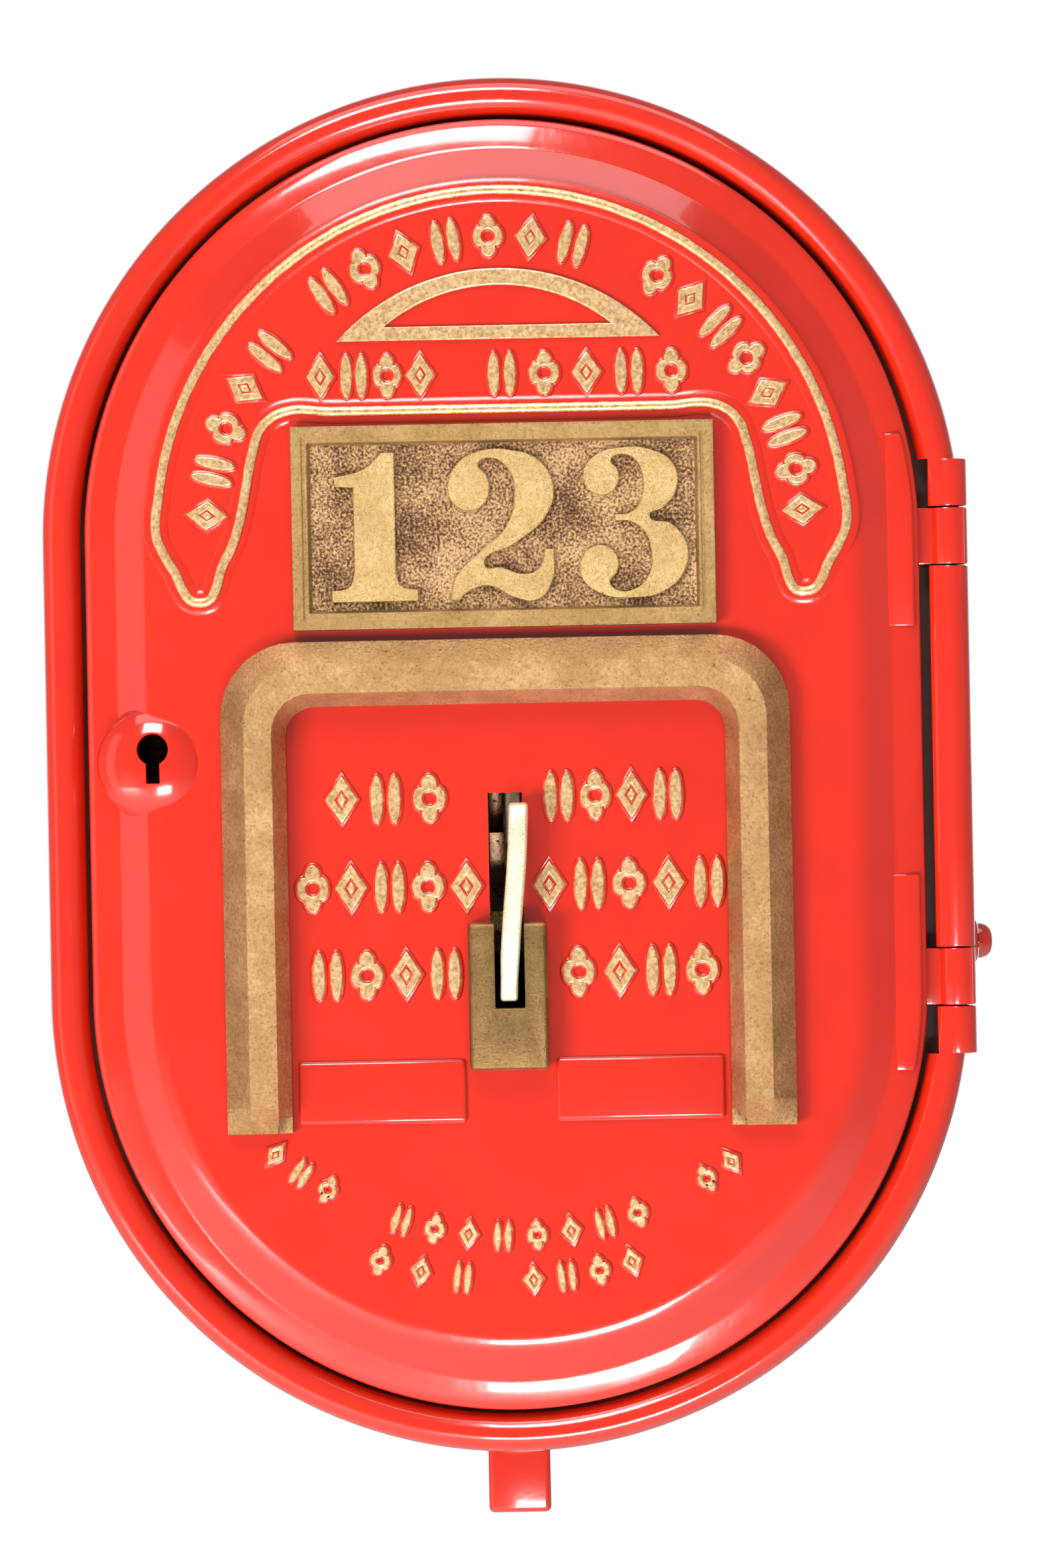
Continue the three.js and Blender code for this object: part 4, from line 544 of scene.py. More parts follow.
# brass made brown-black as painted shade, for the lock seen in the dark of the keyhole
LOCK_SHADE_BRASS = cast_metal(
    "lock_brass_dark_as_painted_shade",
    ("#2E2418", "#4A3A24", "#6A5434"),
    pit=2.4, grain=0.5, rough=0.42, blotch=12, hollow="#1C150E", hollow_share=0.25,
)
GROUND = granular_ground()
FIBRE = vulcanised_fibre()
BRAID = cotton_braid()
INSIDE_SHADE = inside_painted_shade()

# ---------------------------------------------------------------- ways of shaping


def only(piece):
    """That piece alone is selected and active."""
    bpy.ops.object.select_all(action="DESELECT")
    piece.select_set(True)
    bpy.context.view_layer.objects.active = piece


def settle(name):
    """Names the new active piece and puts its place into its mesh."""
    piece = bpy.context.object
    piece.name = name
    only(piece)
    bpy.ops.object.transform_apply(location=True, rotation=True, scale=True)
    return piece


def block(name, x0, x1, y0, y1, z0, z1):
    """A box between those limits."""
    bpy.ops.object.select_all(action="DESELECT")
    centre = ((x0 + x1) / 2, (y0 + y1) / 2, (z0 + z1) / 2)
    bpy.ops.mesh.primitive_cube_add(size=1, location=centre, scale=(x1 - x0, y1 - y0, z1 - z0))
    return settle(name)


TURNS = {"X": (0, math.pi / 2, 0), "Y": (math.pi / 2, 0, 0), "Z": (0, 0, 0)}


def rod(name, axis, centre, radius, long, sides=TURNED_SIDES):
    """A round bar along an axis."""
    bpy.ops.object.select_all(action="DESELECT")
    bpy.ops.mesh.primitive_cylinder_add(
        vertices=sides, radius=radius, depth=long, location=centre, rotation=TURNS[axis]
    )
    return settle(name)


def select_where(piece, test):
    """In edit mode, selects the points whose place passes the test."""
    bpy.ops.mesh.select_mode(type="VERT")
    bpy.ops.mesh.select_all(action="DESELECT")
    bpy.ops.object.mode_set(mode="OBJECT")
    for point in piece.data.vertices:
        point.select = test(point.co)
    bpy.ops.object.mode_set(mode="EDIT")


def turned(name, profile, x=0, z=0, half=0, sides=TURNED_SIDES):
    """A section of radius and depth carried round a centre, or round two ends joined by straight sides."""
    bpy.ops.object.select_all(action="DESELECT")
    radius, depth = profile[0]
    bpy.ops.mesh.primitive_circle_add(
        vertices=sides,
        radius=radius,
        fill_type="NGON",
        location=(0, depth, 0),
        rotation=(math.pi / 2, math.pi / sides, 0),
    )
    piece = settle(name)
    bpy.ops.object.mode_set(mode="EDIT")
    bpy.ops.mesh.select_all(action="SELECT")
    for next_radius, next_depth in profile[1:]:
        bpy.ops.mesh.extrude_region_move(TRANSFORM_OT_translate={"value": (0, next_depth - depth, 0)})
        grow = next_radius / radius
        bpy.ops.transform.resize(value=(grow, 1, grow), center_override=(0, next_depth, 0))
        radius, depth = next_radius, next_depth
    if half:
        select_where(piece, lambda place: place.z > 0)
        bpy.ops.transform.translate(value=(0, 0, half))
        select_where(piece, lambda place: place.z < 0)
        bpy.ops.transform.translate(value=(0, 0, -half))
    bpy.ops.mesh.select_all(action="SELECT")
    bpy.ops.transform.translate(value=(x, 0, z))
    bpy.ops.mesh.normals_make_consistent(inside=False)
    bpy.ops.object.mode_set(mode="OBJECT")
    return piece


def set_down(piece, turn, place):
    """Turns and moves a finished piece, and puts both into its mesh."""
    only(piece)
    piece.rotation_euler = turn
    piece.location = place
    bpy.ops.object.transform_apply(location=True, rotation=True, scale=True)


def bow(radius, depth, wide, deep, start, end, steps):
    """Points of a stretch of an ellipse in radius and depth, both ends included, angles in degrees."""
    points = []
    for step in range(steps + 1):
        angle = math.radians(start + (end - start) * step / steps)
        points.append((radius + wide * math.cos(angle), depth + deep * math.sin(angle)))
    return points


def work(piece, operation, tool):
    """Cuts the tool away from the piece, or joins it on, and removes the tool."""
    only(piece)
    step = piece.modifiers.new("work", "BOOLEAN")
    step.operation = operation
    step.object = tool
    step.solver = "EXACT"
    bpy.ops.object.modifier_apply(modifier=step.name)
    bpy.data.objects.remove(tool)


def soften(piece, width, rows=3, angle=35):
    """Rounds the edges that are sharper than the angle."""
    only(piece)
    step = piece.modifiers.new("edges", "BEVEL")
    step.width = width
    step.segments = rows
    step.limit_method = "ANGLE"
    step.angle_limit = math.radians(angle)
    step.miter_outer = "MITER_ARC"
    step.use_clamp_overlap = True
    bpy.ops.object.modifier_apply(modifier=step.name)


def line_inside(piece, test):
    """The faces whose middle passes the test get the inner finish, a very dark painted shade, which is the
    piece's second.
    """
    piece.data.materials.append(ENAMEL)
    piece.data.materials.append(INSIDE_SHADE)
    for face in piece.data.polygons:
        face.material_index = 1 if test(face.center) else 0


def from_middle(place):
    """Distance of a place from the box's middle line, as its outline runs."""
    beyond = max(abs(place.z) - HALF, 0)
    return math.hypot(place.x, beyond)


def gather(name, pieces):
    """Several pieces as one; a piece with no finish yet takes the first one's."""
    bpy.ops.object.select_all(action="DESELECT")
    for piece in pieces:
        piece.select_set(True)
        if pieces[0].data.materials and not piece.data.materials:
            piece.data.materials.append(pieces[0].data.materials[0])
    bpy.context.view_layer.objects.active = pieces[0]
    bpy.ops.object.join()
    pieces[0].name = name
    return pieces[0]


def finish_piece(piece, body, slot, *materials, stands_for=(), smooth=32):
    """Turns a piece to metres, gives it its finish, and hangs it on its body."""
    only(piece)
    piece.scale = (MM, MM, MM)
    bpy.ops.object.transform_apply(location=True, rotation=True, scale=True)
    bpy.ops.object.shade_smooth_by_angle(angle=math.radians(smooth))
    if len(piece.data.materials) == 0:
        for material in materials:
            piece.data.materials.append(material)
    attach(piece, body)
    if stands_for:
        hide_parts(*stands_for)
    return piece


def outline_plate(name, outlines, back, front, edge, curved=False, rows=3, grow=0):
    """A flat shape with rounded front edges, from outlines of (across, up); an inner one is a hole."""
    curve = bpy.data.curves.new(name, "CURVE")
    curve.dimensions = "2D"
    curve.fill_mode = "BOTH"
    curve.extrude = (back - front) / 2 - edge
    curve.bevel_depth = edge
    curve.bevel_resolution = rows
    curve.offset = grow - edge
    curve.resolution_u = 8
    for outline in outlines:
        spline = curve.splines.new("BEZIER" if curved else "POLY")
        points = spline.bezier_points if curved else spline.points
        points.add(len(outline) - 1)
        for point, (across, up, *corner) in zip(points, outline):
            if curved:
                point.co = (across, up, 0)
                point.handle_left_type = "VECTOR" if corner else "AUTO"
                point.handle_right_type = "VECTOR" if corner else "AUTO"
            else:
                point.co = (across, up, 0, 1)
        spline.use_cyclic_u = True
    piece = bpy.data.objects.new(name, curve)
    bpy.context.collection.objects.link(piece)
    only(piece)
    piece.rotation_euler = (math.pi / 2, 0, 0)
    piece.location = (0, (back + front) / 2, 0)
    bpy.ops.object.convert(target="MESH")
    return settle(name)


def swept(name, rings):
    """A solid through rings of points, both end rings closed."""
    bpy.ops.object.select_all(action="DESELECT")
    count = len(rings[0])
    bpy.ops.mesh.primitive_grid_add(x_subdivisions=count, y_subdivisions=len(rings) - 1)
    piece = settle(name)
    points = piece.data.vertices
    for row, ring in enumerate(rings):
        for column, place in enumerate([*ring, ring[0]]):
            points[row * (count + 1) + column].co = place
    bpy.ops.object.mode_set(mode="EDIT")
    bpy.ops.mesh.select_all(action="SELECT")
    bpy.ops.mesh.remove_doubles(threshold=0.001)
    bpy.ops.mesh.fill_holes(sides=0)
    bpy.ops.mesh.select_all(action="SELECT")
    bpy.ops.mesh.normals_make_consistent(inside=False)
    bpy.ops.object.mode_set(mode="OBJECT")
    return piece


# ---------------------------------------------------------------- back box


def box_shell():
    """The cast box: rear face, side wall, rolled rim, ledge, and the hollow inside, in one skin."""
    deep = 6.4  # the rim's roll, front to middle
    wide = RIM_R - RIM_MIDDLE_R
    narrow = RIM_MIDDLE_R - RIM_INNER_R
    profile = [(60, 0), (WALL_R - 3, 0)] + bow(WALL_R - 3, -3, 3, 3, 90, 0, 6)[1:]
    profile += [(WALL_R, WALL_FRONT + 2), (WALL_R + 0.9, WALL_FRONT - 1.2), (RIM_R - 0.5, -81.4)]
    profile += bow(RIM_MIDDLE_R, RIM_MIDDLE_Y, wide, deep, 0, -90, 12)
    profile += bow(RIM_MIDDLE_R, RIM_MIDDLE_Y, narrow, deep, -90, -180, 12)[1:]
    profile += [(RIM_INNER_R, LEDGE_FRONT), (LEDGE_R, LEDGE_FRONT), (LEDGE_R, LEDGE_BACK)]
    profile += [(WALL_IN, LEDGE_BACK), (WALL_IN, -BACK - 4), (WALL_IN - 1.2, -BACK - 1.2)]
    profile += [(WALL_IN - 4, -BACK), (60, -BACK)]
    return turned("box_casting", profile, half=HALF, sides=ROUND_SIDES)


def box_cuts(shell):
    """Hinge pockets, the relief beside the barrel, and the holes in the back."""
    for side in (-1, 1):
        middle = side * (BARREL_TOP + KNUCKLE_TOP + HINGE_GAP) / 2
        long = KNUCKLE_TOP + HINGE_GAP - BARREL_TOP
        work(shell, "DIFFERENCE", rod("pocket", "Z", (HINGE_X, HINGE_Y, middle), POCKET_R, long))
    relief = block("relief", COVE_R, HINGE_X - BARREL_R, RIM_FRONT - 4, LEDGE_FRONT, -END_TOP, END_TOP)
    work(shell, "DIFFERENCE", relief)
    for x in (-HOLE_X, HOLE_X):
        for z in (-HOLE_Z, HOLE_Z):
            work(shell, "DIFFERENCE", rod("wall_hole", "Y", (x, -BACK / 2, z), HOLE_R, 10, 32))
    work(shell, "DIFFERENCE", rod("cable_hole", "Y", (0, -BACK / 2, CABLE_Z), CABLE_R, 10))


def hinge_barrels():
    """The box's three barrels on their web."""
    barrels = [rod("barrel", "Z", (HINGE_X, HINGE_Y, 0), BARREL_R, 2 * BARREL_TOP)]
    for side in (-1, 1):
        near = KNUCKLE_TOP + HINGE_GAP
        middle = side * (near + END_TOP) / 2
        barrels.append(rod("end_barrel", "Z", (HINGE_X, HINGE_Y, middle), BARREL_R, END_TOP - near))
    for barrel in barrels:
        soften(barrel, 0.5, 2)
    webs = []
    near = KNUCKLE_TOP + HINGE_GAP
    for low, high in ((-END_TOP + 1, -near), (-BARREL_TOP, BARREL_TOP), (near, END_TOP - 1)):
        webs.append(block("web", HINGE_X - 4, HINGE_X + 0.4, HINGE_Y, LEDGE_BACK + 1, low, high))
    return barrels + webs


def bottom_boss():
    """The round pad under the box and the square lug below it."""
    pad = turned("pad", [(17.8, 0), (17.8, 7.2), (16.2, 8.6), (12.4, 9.8), (11, 11.4)])
    set_down(pad, (-math.pi / 2, 0, 0), (0, FOOT_Y, FOOT_TOP))
    rear, front = FOOT_Y + FOOT_HALF, FOOT_Y - FOOT_HALF
    lug = block("lug", -FOOT_HALF, FOOT_HALF, front, rear, FOOT_BOTTOM, FOOT_TOP)
    soften(lug, 1.8, 4)
    return [pad, lug]


def inner_bosses():
    """The four bosses that the movement stands on, and the side screw's boss."""
    bosses = []
    profile = [(9, -5), (7.6, -7.2), (7, -10), (7, -19.4), (6.4, -20), (2.2, -20)]
    for x in BOSS_X:
        for z in BOSS_Z:
            bosses.append(turned("boss", profile, x, z))
    side = rod("side_boss", "X", (137.5, SCREW_Y, SCREW_Z), 6.6, 11.8)
    soften(side, 0.8, 3)
    return [*bosses, side]


shell = box_shell()
box_cuts(shell)
# the box's inner faces take the very dark inside colour, painted shade
line_inside(
    shell,
    lambda place: from_middle(place) < WALL_IN + 0.3 and LEDGE_FRONT - 0.2 < place.y < -0.5,
)
box = gather("box_casting", [shell, *hinge_barrels(), *bottom_boss(), *inner_bosses()])
finish_piece(box, "wall_box", "red_enamel", ENAMEL, stands_for=("back_box",))

# ---------------------------------------------------------------- door


def door_shell():
    """The door's front, rounded down from the field through the cove to the lip, and its hollow back."""
    crown = 12.2  # radius of the field's rounded edge
    start = FIELD_R - 2.5
    front = [(60, FIELD_FRONT), (start - 0.8, FIELD_FRONT)]
    front += bow(start, FIELD_FRONT + crown, crown, crown, -90, -55, 8)
    front += [(116.2, LIP_FRONT - 0.5), (116.8, LIP_FRONT - 0.15), (117.6, LIP_FRONT)]
    front += [(120, LIP_FRONT + 0.45), (123, LIP_FRONT + 1.15), (124.6, LIP_FRONT + 1.65)]
    front += bow(DOOR_R - 1.6, LIP_FRONT + 3.4, 1.6, 1.6, -70, 0, 5)
    back = [(DOOR_R, DOOR_BACK - 0.6), (DOOR_R - 0.6, DOOR_BACK), (CAVITY_R, DOOR_BACK)]
    back += [(CAVITY_R, CAVITY_FRONT + 4)]
    back += bow(CAVITY_R - 3, CAVITY_FRONT + 3, 3, 3, 0, -90, 4)
    back += [(60, CAVITY_FRONT)]
    return turned("door_casting", front + back, half=HALF, sides=ROUND_SIDES)


def keyhole_tool():
    """The round and the slot of the keyhole."""
    middle = LOCK_Z + KEY_RISE
    tool = rod("keyhole", "Y", (LOCK_X, -93, middle), KEY_R, 30, 48)
    slot = block("slot", LOCK_X - KEY_HALF, LOCK_X + KEY_HALF, -108, -78, LOCK_Z - 6.2, middle)
    work(tool, "UNION", slot)
    return tool


def lock_boss():
    """The domed boss round the keyhole."""
    profile = [(3, BOSS_FRONT), (6.5, -104.1), (9.2, -103.4), (11.6, -102.5), (13.6, -101.4)]
    profile += [(15.4, -100), (16.7, -98.4), (17.4, -96.4), (17.4, DOOR_BACK)]
    boss = turned("lock_boss", profile, LOCK_X, LOCK_Z, sides=96)
    work(boss, "DIFFERENCE", keyhole_tool())
    soften(boss, 0.5, 2, 50)
    return boss


def door_knuckle(side):
    """One of the door's two knuckles: barrel, flat cheek, and the arm that carries it."""
    near = BARREL_TOP + HINGE_GAP
    middle = side * (near + KNUCKLE_TOP) / 2
    long = KNUCKLE_TOP - near
    barrel = rod("knuckle", "Z", (HINGE_X, HINGE_Y, middle), BARREL_R, long)
    soften(barrel, 0.5, 2)
    low, high = middle - long / 2, middle + long / 2
    outer = HINGE_X + BARREL_R
    section = [
        (HINGE_X, HINGE_Y - 5.2),
        (outer - 1.4, HINGE_Y - 4.6),
        (outer + 0.2, HINGE_Y + 5.6),
        (HINGE_X, HINGE_Y + 5.8),
    ]
    cheek = swept("cheek", [[(x, y, z) for x, y in section] for z in (low, high)])
    soften(cheek, 0.4, 2)
    arm = block("arm", COVE_R, HINGE_X, HINGE_Y - 3.4, DOOR_BACK, low, high)
    soften(arm, 0.6, 2)
    return [barrel, cheek, arm]


def door_pads():
    """The two blank pads under the glass opening."""
    pads = []
    for x0, x1 in ((-64, -13.6), (13.4, 64)):
        pad = block("pad", x0, x1, FIELD_FRONT - 1.5, FIELD_FRONT + 1, -107.2, -88.2)
        soften(pad, 1.35, 4)
        pads.append(pad)
    return pads


def hinge_pads():
    """Stretches of the lip beside the hinge that stand a little proud."""
    pads = []
    front, edge = LIP_FRONT - 0.5, DOOR_R - 1.6
    profile = [(60, front), (edge - 0.8, front), (edge, front + 0.9)]
    profile += [(edge, DOOR_BACK - 3), (60, DOOR_BACK - 3)]
    for z0, z1 in ((39.5, 97.5), (-94.5, -35.5)):
        pad = turned("hinge_pad", profile, half=HALF, sides=ROUND_SIDES)
        work(pad, "INTERSECT", block("stretch", COVE_R - 1.5, DOOR_R + 2, -110, -80, z0, z1))
        soften(pad, 0.35, 2)
        pads.append(pad)
    return pads


def make_door():
    """The door's whole casting."""
    shell = door_shell()
    slot = block("slot", SLOT_LEFT, SLOT_RIGHT, -110, -90, SLOT_BOTTOM, SLOT_TOP)
    work(shell, "DIFFERENCE", slot)
    work(shell, "DIFFERENCE", keyhole_tool())
    inner = CAVITY_R + 0.3
    # the door's hollow back takes the very dark inside colour, painted shade
    line_inside(shell, lambda place: from_middle(place) < inner and place.y > FIELD_FRONT + 1.2)
    parts = [shell, lock_boss(), *door_pads(), *hinge_pads(), *door_knuckle(-1), *door_knuckle(1)]
    door = gather("door_casting", parts)
    return finish_piece(door, "door", "red_enamel", ENAMEL, stands_for=("door",))


make_door()

# ---------------------------------------------------------------- raised ornament on the door

BEAD_WIDE = 3.6
BEAD_HIGH = 1.4
SWELL_WIDE = 7.6
SWELL_HIGH = 0.6


def banner_line():
    """The banner's outline as (across, up) points: a half round that ends in two pointed lobes."""
    lobe = [(-103.5, 70.5), (-101.2, 64.5), (-98, 59), (-95.6, 53.6), (-93.4, 50.9)]
    lobe += [(-90.6, 50.2), (-87.9, 50.9), (-86, 54), (-84.2, 60), (-80.8, 67)]
    lobe += [(-78.4, 74.5), (-76.4, 84), (-74.2, 95), (-71.2, 102.6), (-65, 106.8)]
    radius = 103.5
    top = []
    for step in range(1, 24):
        angle = math.pi * step / 24
        top.append((radius * math.cos(angle), HALF + radius * math.sin(angle)))
    bridge = [(-50, 106.8), (0, 106.8), (50, 106.8)]
    return top + lobe + bridge + [(-x, z) for x, z in reversed(lobe)]


def bead(wide, high):
    """A half-round bead along the banner's outline."""
    curve = bpy.data.curves.new("banner_bead", "CURVE")
    curve.dimensions = "3D"
    curve.bevel_depth = wide / 2
    curve.bevel_resolution = 4
    curve.resolution_u = 8
    spline = curve.splines.new("BEZIER")
    line = banner_line()
    spline.bezier_points.add(len(line) - 1)
    for point, (across, up) in zip(spline.bezier_points, line):
        point.co = (across, 0, up)
        point.handle_left_type = "AUTO"
        point.handle_right_type = "AUTO"
    spline.use_cyclic_u = True
    piece = bpy.data.objects.new("banner_bead", curve)
    bpy.context.collection.objects.link(piece)
    only(piece)
    bpy.ops.object.convert(target="MESH")
    piece = bpy.context.object
    piece.scale = (1, 2 * high / wide, 1)
    piece.location = (0, FIELD_FRONT, 0)
    return settle("banner_bead")


def banner_bead():
    """The gilded bead on the low swell of enamel that runs under it."""
    return gather("banner_bead", [bead(BEAD_WIDE, BEAD_HIGH), bead(SWELL_WIDE, SWELL_HIGH)])


def segment_line(half, low, high, steps=28):
    """The outline of a slice of a circle, flat side down."""
    rise = high - low
    radius = (half ** 2 + rise ** 2) / (2 * rise)
    spread = math.asin(half / radius)
    points = []
    for step in range(steps + 1):
        angle = spread - 2 * spread * step / steps
        points.append((radius * math.sin(angle), high - radius + radius * math.cos(angle)))
    return points


def crescent():
    """The slice-shaped frame over the name row."""
    outlines = [segment_line(48.6, 127.6, 149), segment_line(34, 131.8, 143.8)]
    return outline_plate("crescent", outlines, FIELD_FRONT + 1, FIELD_FRONT - BEAD_HIGH, 0.55)


def lozenge(tall, wide, stroke):
    """An open diamond with a small diamond in it."""
    outlines = []
    for shrink in (0, stroke * 1.35, tall * 0.36):
        rise = tall / 2 - shrink
        reach = rise * wide / tall
        outlines.append([(0, rise), (reach, 0), (0, -rise), (-reach, 0)])
    return outlines


def rosette(tall, wide, stroke):
    """A four-lobed flower with an open eye."""
    petals = []
    eye = []
    for step in range(48):
        angle = 2 * math.pi * step / 48
        lobe = 0.66 + 0.34 * abs(math.cos(2 * angle)) ** 0.7
        petals.append((wide / 2 * lobe * math.cos(angle), tall / 2 * lobe * math.sin(angle)))
        if step % 3 == 0:
            eye.append((stroke * 0.75 * math.cos(angle), stroke * 0.75 * math.sin(angle)))
    return [petals, eye]


def leaf_pair(tall, wide, stroke):
    """Two upright pointed leaves side by side."""
    outlines = []
    for side in (-1, 1):
        points = []
        for step in range(24):
            angle = 2 * math.pi * step / 24
            across = side * wide * 0.27 + stroke * 0.62 * math.sin(angle)
            up = tall / 2 * math.cos(angle)
            points.append((across, up))
        outlines.append(points)
    return outlines


MOTIFS = (lozenge, leaf_pair, rosette)


def mark(kind, tall, wide, stroke, across, up, turn):
    """One small raised ornament, turned by an angle in degrees and set on the door's field."""
    outlines = MOTIFS[kind](tall, wide, stroke)
    top = outline_plate("mark", outlines, FIELD_FRONT + 0.6, FIELD_FRONT - 1.35, 0.45, rows=2)
    skirt = outline_plate("skirt", outlines, FIELD_FRONT + 1.2, FIELD_FRONT - 0.8, 0.95, rows=3, grow=1.0)
    piece = gather("mark", [top, skirt])
    set_down(piece, (0, math.radians(-turn), 0), (across, 0, up))
    return piece


def mark_ring(first, last, count, centre_z, radius, tall, wide, stroke, start=0):
    """Marks along a round, standing outwards; angles from straight right, in degrees."""
    marks = []
    for step in range(count):
        angle = first + (last - first) * step / (count - 1)
        across = radius * math.cos(math.radians(angle))
        up = centre_z + radius * math.sin(math.radians(angle))
        turn = angle - 90 if angle > 0 else angle + 90
        marks.append(mark((start + step) % 3, tall, wide, stroke, across, up, turn))
    return marks


def mark_row(first, last, count, up, tall, wide, stroke, start=0):
    """Marks in a straight row."""
    marks = []
    for step in range(count):
        across = first + (last - first) * step / (count - 1)
        marks.append(mark((start + step) % 3, tall, wide, stroke, across, up, 0))
    return marks


def banner_marks():
    """Three groups round the banner, and two groups in the straight row under it."""
    marks = mark_ring(175.3, 140.6, 5, HALF, 88.5, 12.5, 9, 2.8)
    marks += mark_ring(124.4, 75.1, 7, HALF, 89.5, 12.5, 9, 2.8, 1)
    marks += mark_ring(57.9, 3.7, 8, HALF, 90.5, 12.5, 9, 2.8, 2)
    marks += mark_row(-53.4, -23.4, 4, 117.2, 13, 8.4, 2.8)
    marks += mark_row(1, 51.9, 5, 117.2, 13, 9, 2.8, 1)
    return gather("banner_marks", marks)


def panel_marks():
    """Three rows behind the glass opening, each with a group on both sides of the slot."""
    marks = mark_row(-49.4, -23.1, 3, -9.8, 14.5, 9.8, 3)
    marks += mark_row(15.7, 48.4, 4, -9.8, 14.5, 9, 3, 1)
    marks += mark_row(-58.6, -12.4, 5, -36.3, 14.5, 9.6, 3, 2)
    marks += mark_row(12.4, 60.2, 5, -36.3, 14.5, 9.6, 3)
    marks += mark_row(-54.6, -19.1, 4, -62.6, 14.5, 9.6, 3, 1)
    marks += mark_row(20.7, 57.8, 4, -62.6, 14.5, 9.6, 3, 2)
    return gather("panel_marks", marks)


def foot_marks():
    """Small marks on two rounds under the pads."""
    marks = mark_ring(-129.7, -120, 3, -30, 111.5, 8, 5.4, 1.7)
    marks += mark_ring(-107.7, -70.6, 8, -30, 111.5, 8.6, 6, 1.7, 1)
    marks += mark_ring(-58.7, -54.1, 2, -30, 111.5, 8, 5.4, 1.7, 2)
    marks += mark_ring(-108.9, -97.3, 3, -30, 124.8, 8.6, 6, 1.7, 2)
    marks += mark_ring(-87.5, -73.7, 4, -30, 124.8, 8.6, 6, 1.7)
    return gather("foot_marks", marks)


for raised in (banner_bead(), crescent(), banner_marks(), panel_marks(), foot_marks()):
    finish_piece(raised, "door", "red_enamel", GILT, smooth=60)

# ---------------------------------------------------------------- number plate

PLATE_LEFT, PLATE_RIGHT = -62.7, 63.9
PLATE_LOW, PLATE_HIGH = 41.1, 102.1
PLATE_BACK, PLATE_FRONT = -101.8, -106.8
# each step's width and height, from the edge inwards: border, raised line, and the sunk ground
PLATE_STEPS = ((0.9, 0.0), (2.2, 0.0), (0.5, -0.5), (0.4, 0.35), (0.9, 0.0), (0.8, -1.9))


def plate_body():
    """A block whose face is stepped: flat border, fine raised line, and a sunk ground."""
    body = block("number_plate", PLATE_LEFT, PLATE_RIGHT, PLATE_FRONT, PLATE_BACK, PLATE_LOW, PLATE_HIGH)
    body.data.materials.append(PLATE_BRASS)
    body.data.materials.append(GROUND)
    bpy.ops.object.mode_set(mode="EDIT")
    select_where(body, lambda place: place.y < PLATE_FRONT + 0.1)
    for width, rise in PLATE_STEPS:
        bpy.ops.mesh.inset(thickness=width, depth=rise, use_even_offset=True)
    body.active_material_index = 1
    bpy.ops.object.material_slot_assign()
    bpy.ops.object.mode_set(mode="OBJECT")
    soften(body, 0.45, 2, 40)
    return body


def digit(name, outline, across):
    """One raised figure of the number."""
    moved = [(x + across, z + PLATE_LOW + 8.2, *corner) for x, z, *corner in outline]
    piece = outline_plate(name, [moved], PLATE_FRONT + 2.2, PLATE_FRONT + 0.15, 0.5, curved=True)
    piece.data.materials.append(FIGURE_BRASS)
    return piece


CORNER = True
# the figures' outlines, drawn freely in a heavy old style
ONE = [
    (4, 0, CORNER), (30, 0, CORNER), (30, 3.4, CORNER), (25, 4.6), (23.4, 9, CORNER),
    (23.4, 44.6, CORNER), (19.4, 44.6, CORNER), (14.4, 40), (5.2, 37.4, CORNER), (5.2, 34.6, CORNER),
    (10.8, 34.2, CORNER), (10.8, 9, CORNER), (9.2, 4.6), (4, 3.4, CORNER),
]
TWO = [
    (1.5, 0, CORNER), (3, 6.5), (10.5, 14.5), (18.5, 22), (21, 31), (19.2, 39.2), (14, 42.4),
    (10.6, 40.6), (13, 37.2), (13.8, 32.8), (11.6, 28.4), (7, 26.8), (2.6, 29.2), (1.2, 34.2),
    (4.2, 41), (11, 44.6), (20, 44.8), (29, 41.2), (33, 33.4), (30.4, 24.6), (21.5, 17),
    (12, 10.4), (17, 9.6), (23.4, 7.6), (27.8, 9), (30, 15, CORNER), (32.8, 15, CORNER),
    (32.2, 5.4), (27.6, -0.2), (20.6, 0.6), (13, 4.2), (7, 2.6), (4.2, 0, CORNER),
]
THREE = [
    (12, 24.8, CORNER), (17, 25.6), (20, 29.4), (20.6, 35), (18.8, 40.6), (14.4, 42.8),
    (11.4, 41.2), (13.4, 38), (13.2, 34), (10.6, 31.2), (6.6, 31), (3.2, 34), (3, 38.4), (7, 43),
    (14, 44.9), (23, 44.2), (30, 39.6), (30.8, 32.4), (26.6, 26.6), (22.6, 24.3), (29, 21.8),
    (33.6, 15.6), (32.8, 7.8), (26.4, 1.6), (17, -0.2), (7.6, 1.2), (1.9, 6), (1.9, 12),
    (5.4, 15.4), (10, 15.2), (12.8, 12), (12.6, 7.8), (10.4, 4.8), (12.2, 2.4), (17.4, 2.4),
    (21.8, 6.6), (22.8, 13), (20.8, 19.6), (17, 22.6), (12, 23, CORNER),
]


def number_plate():
    """The plate with its generic number."""
    figures = [digit("one", ONE, -55), digit("two", TWO, -17), digit("three", THREE, 22)]
    plate = gather("number_plate_casting", [plate_body(), *figures])
    return finish_piece(plate, "door", "gilded_brass", stands_for=("number_plate",), smooth=40)


number_plate()

# ---------------------------------------------------------------- glass guard

GUARD_OUT = 85.2
GUARD_IN = 65.8
GUARD_TOP = 37.7
GUARD_UNDER = 18.3
GUARD_FOOT = -109.3
GUARD_BACK = -101.8
GUARD_FRONT = -112.8
GUARD_EDGE = 5  # depth of the upright outer edge behind the slope
OUTER_ROUND = 22.5
INNER_ROUND = 9
FOOT_SLOPE = 8  # height of the sloped end of each leg


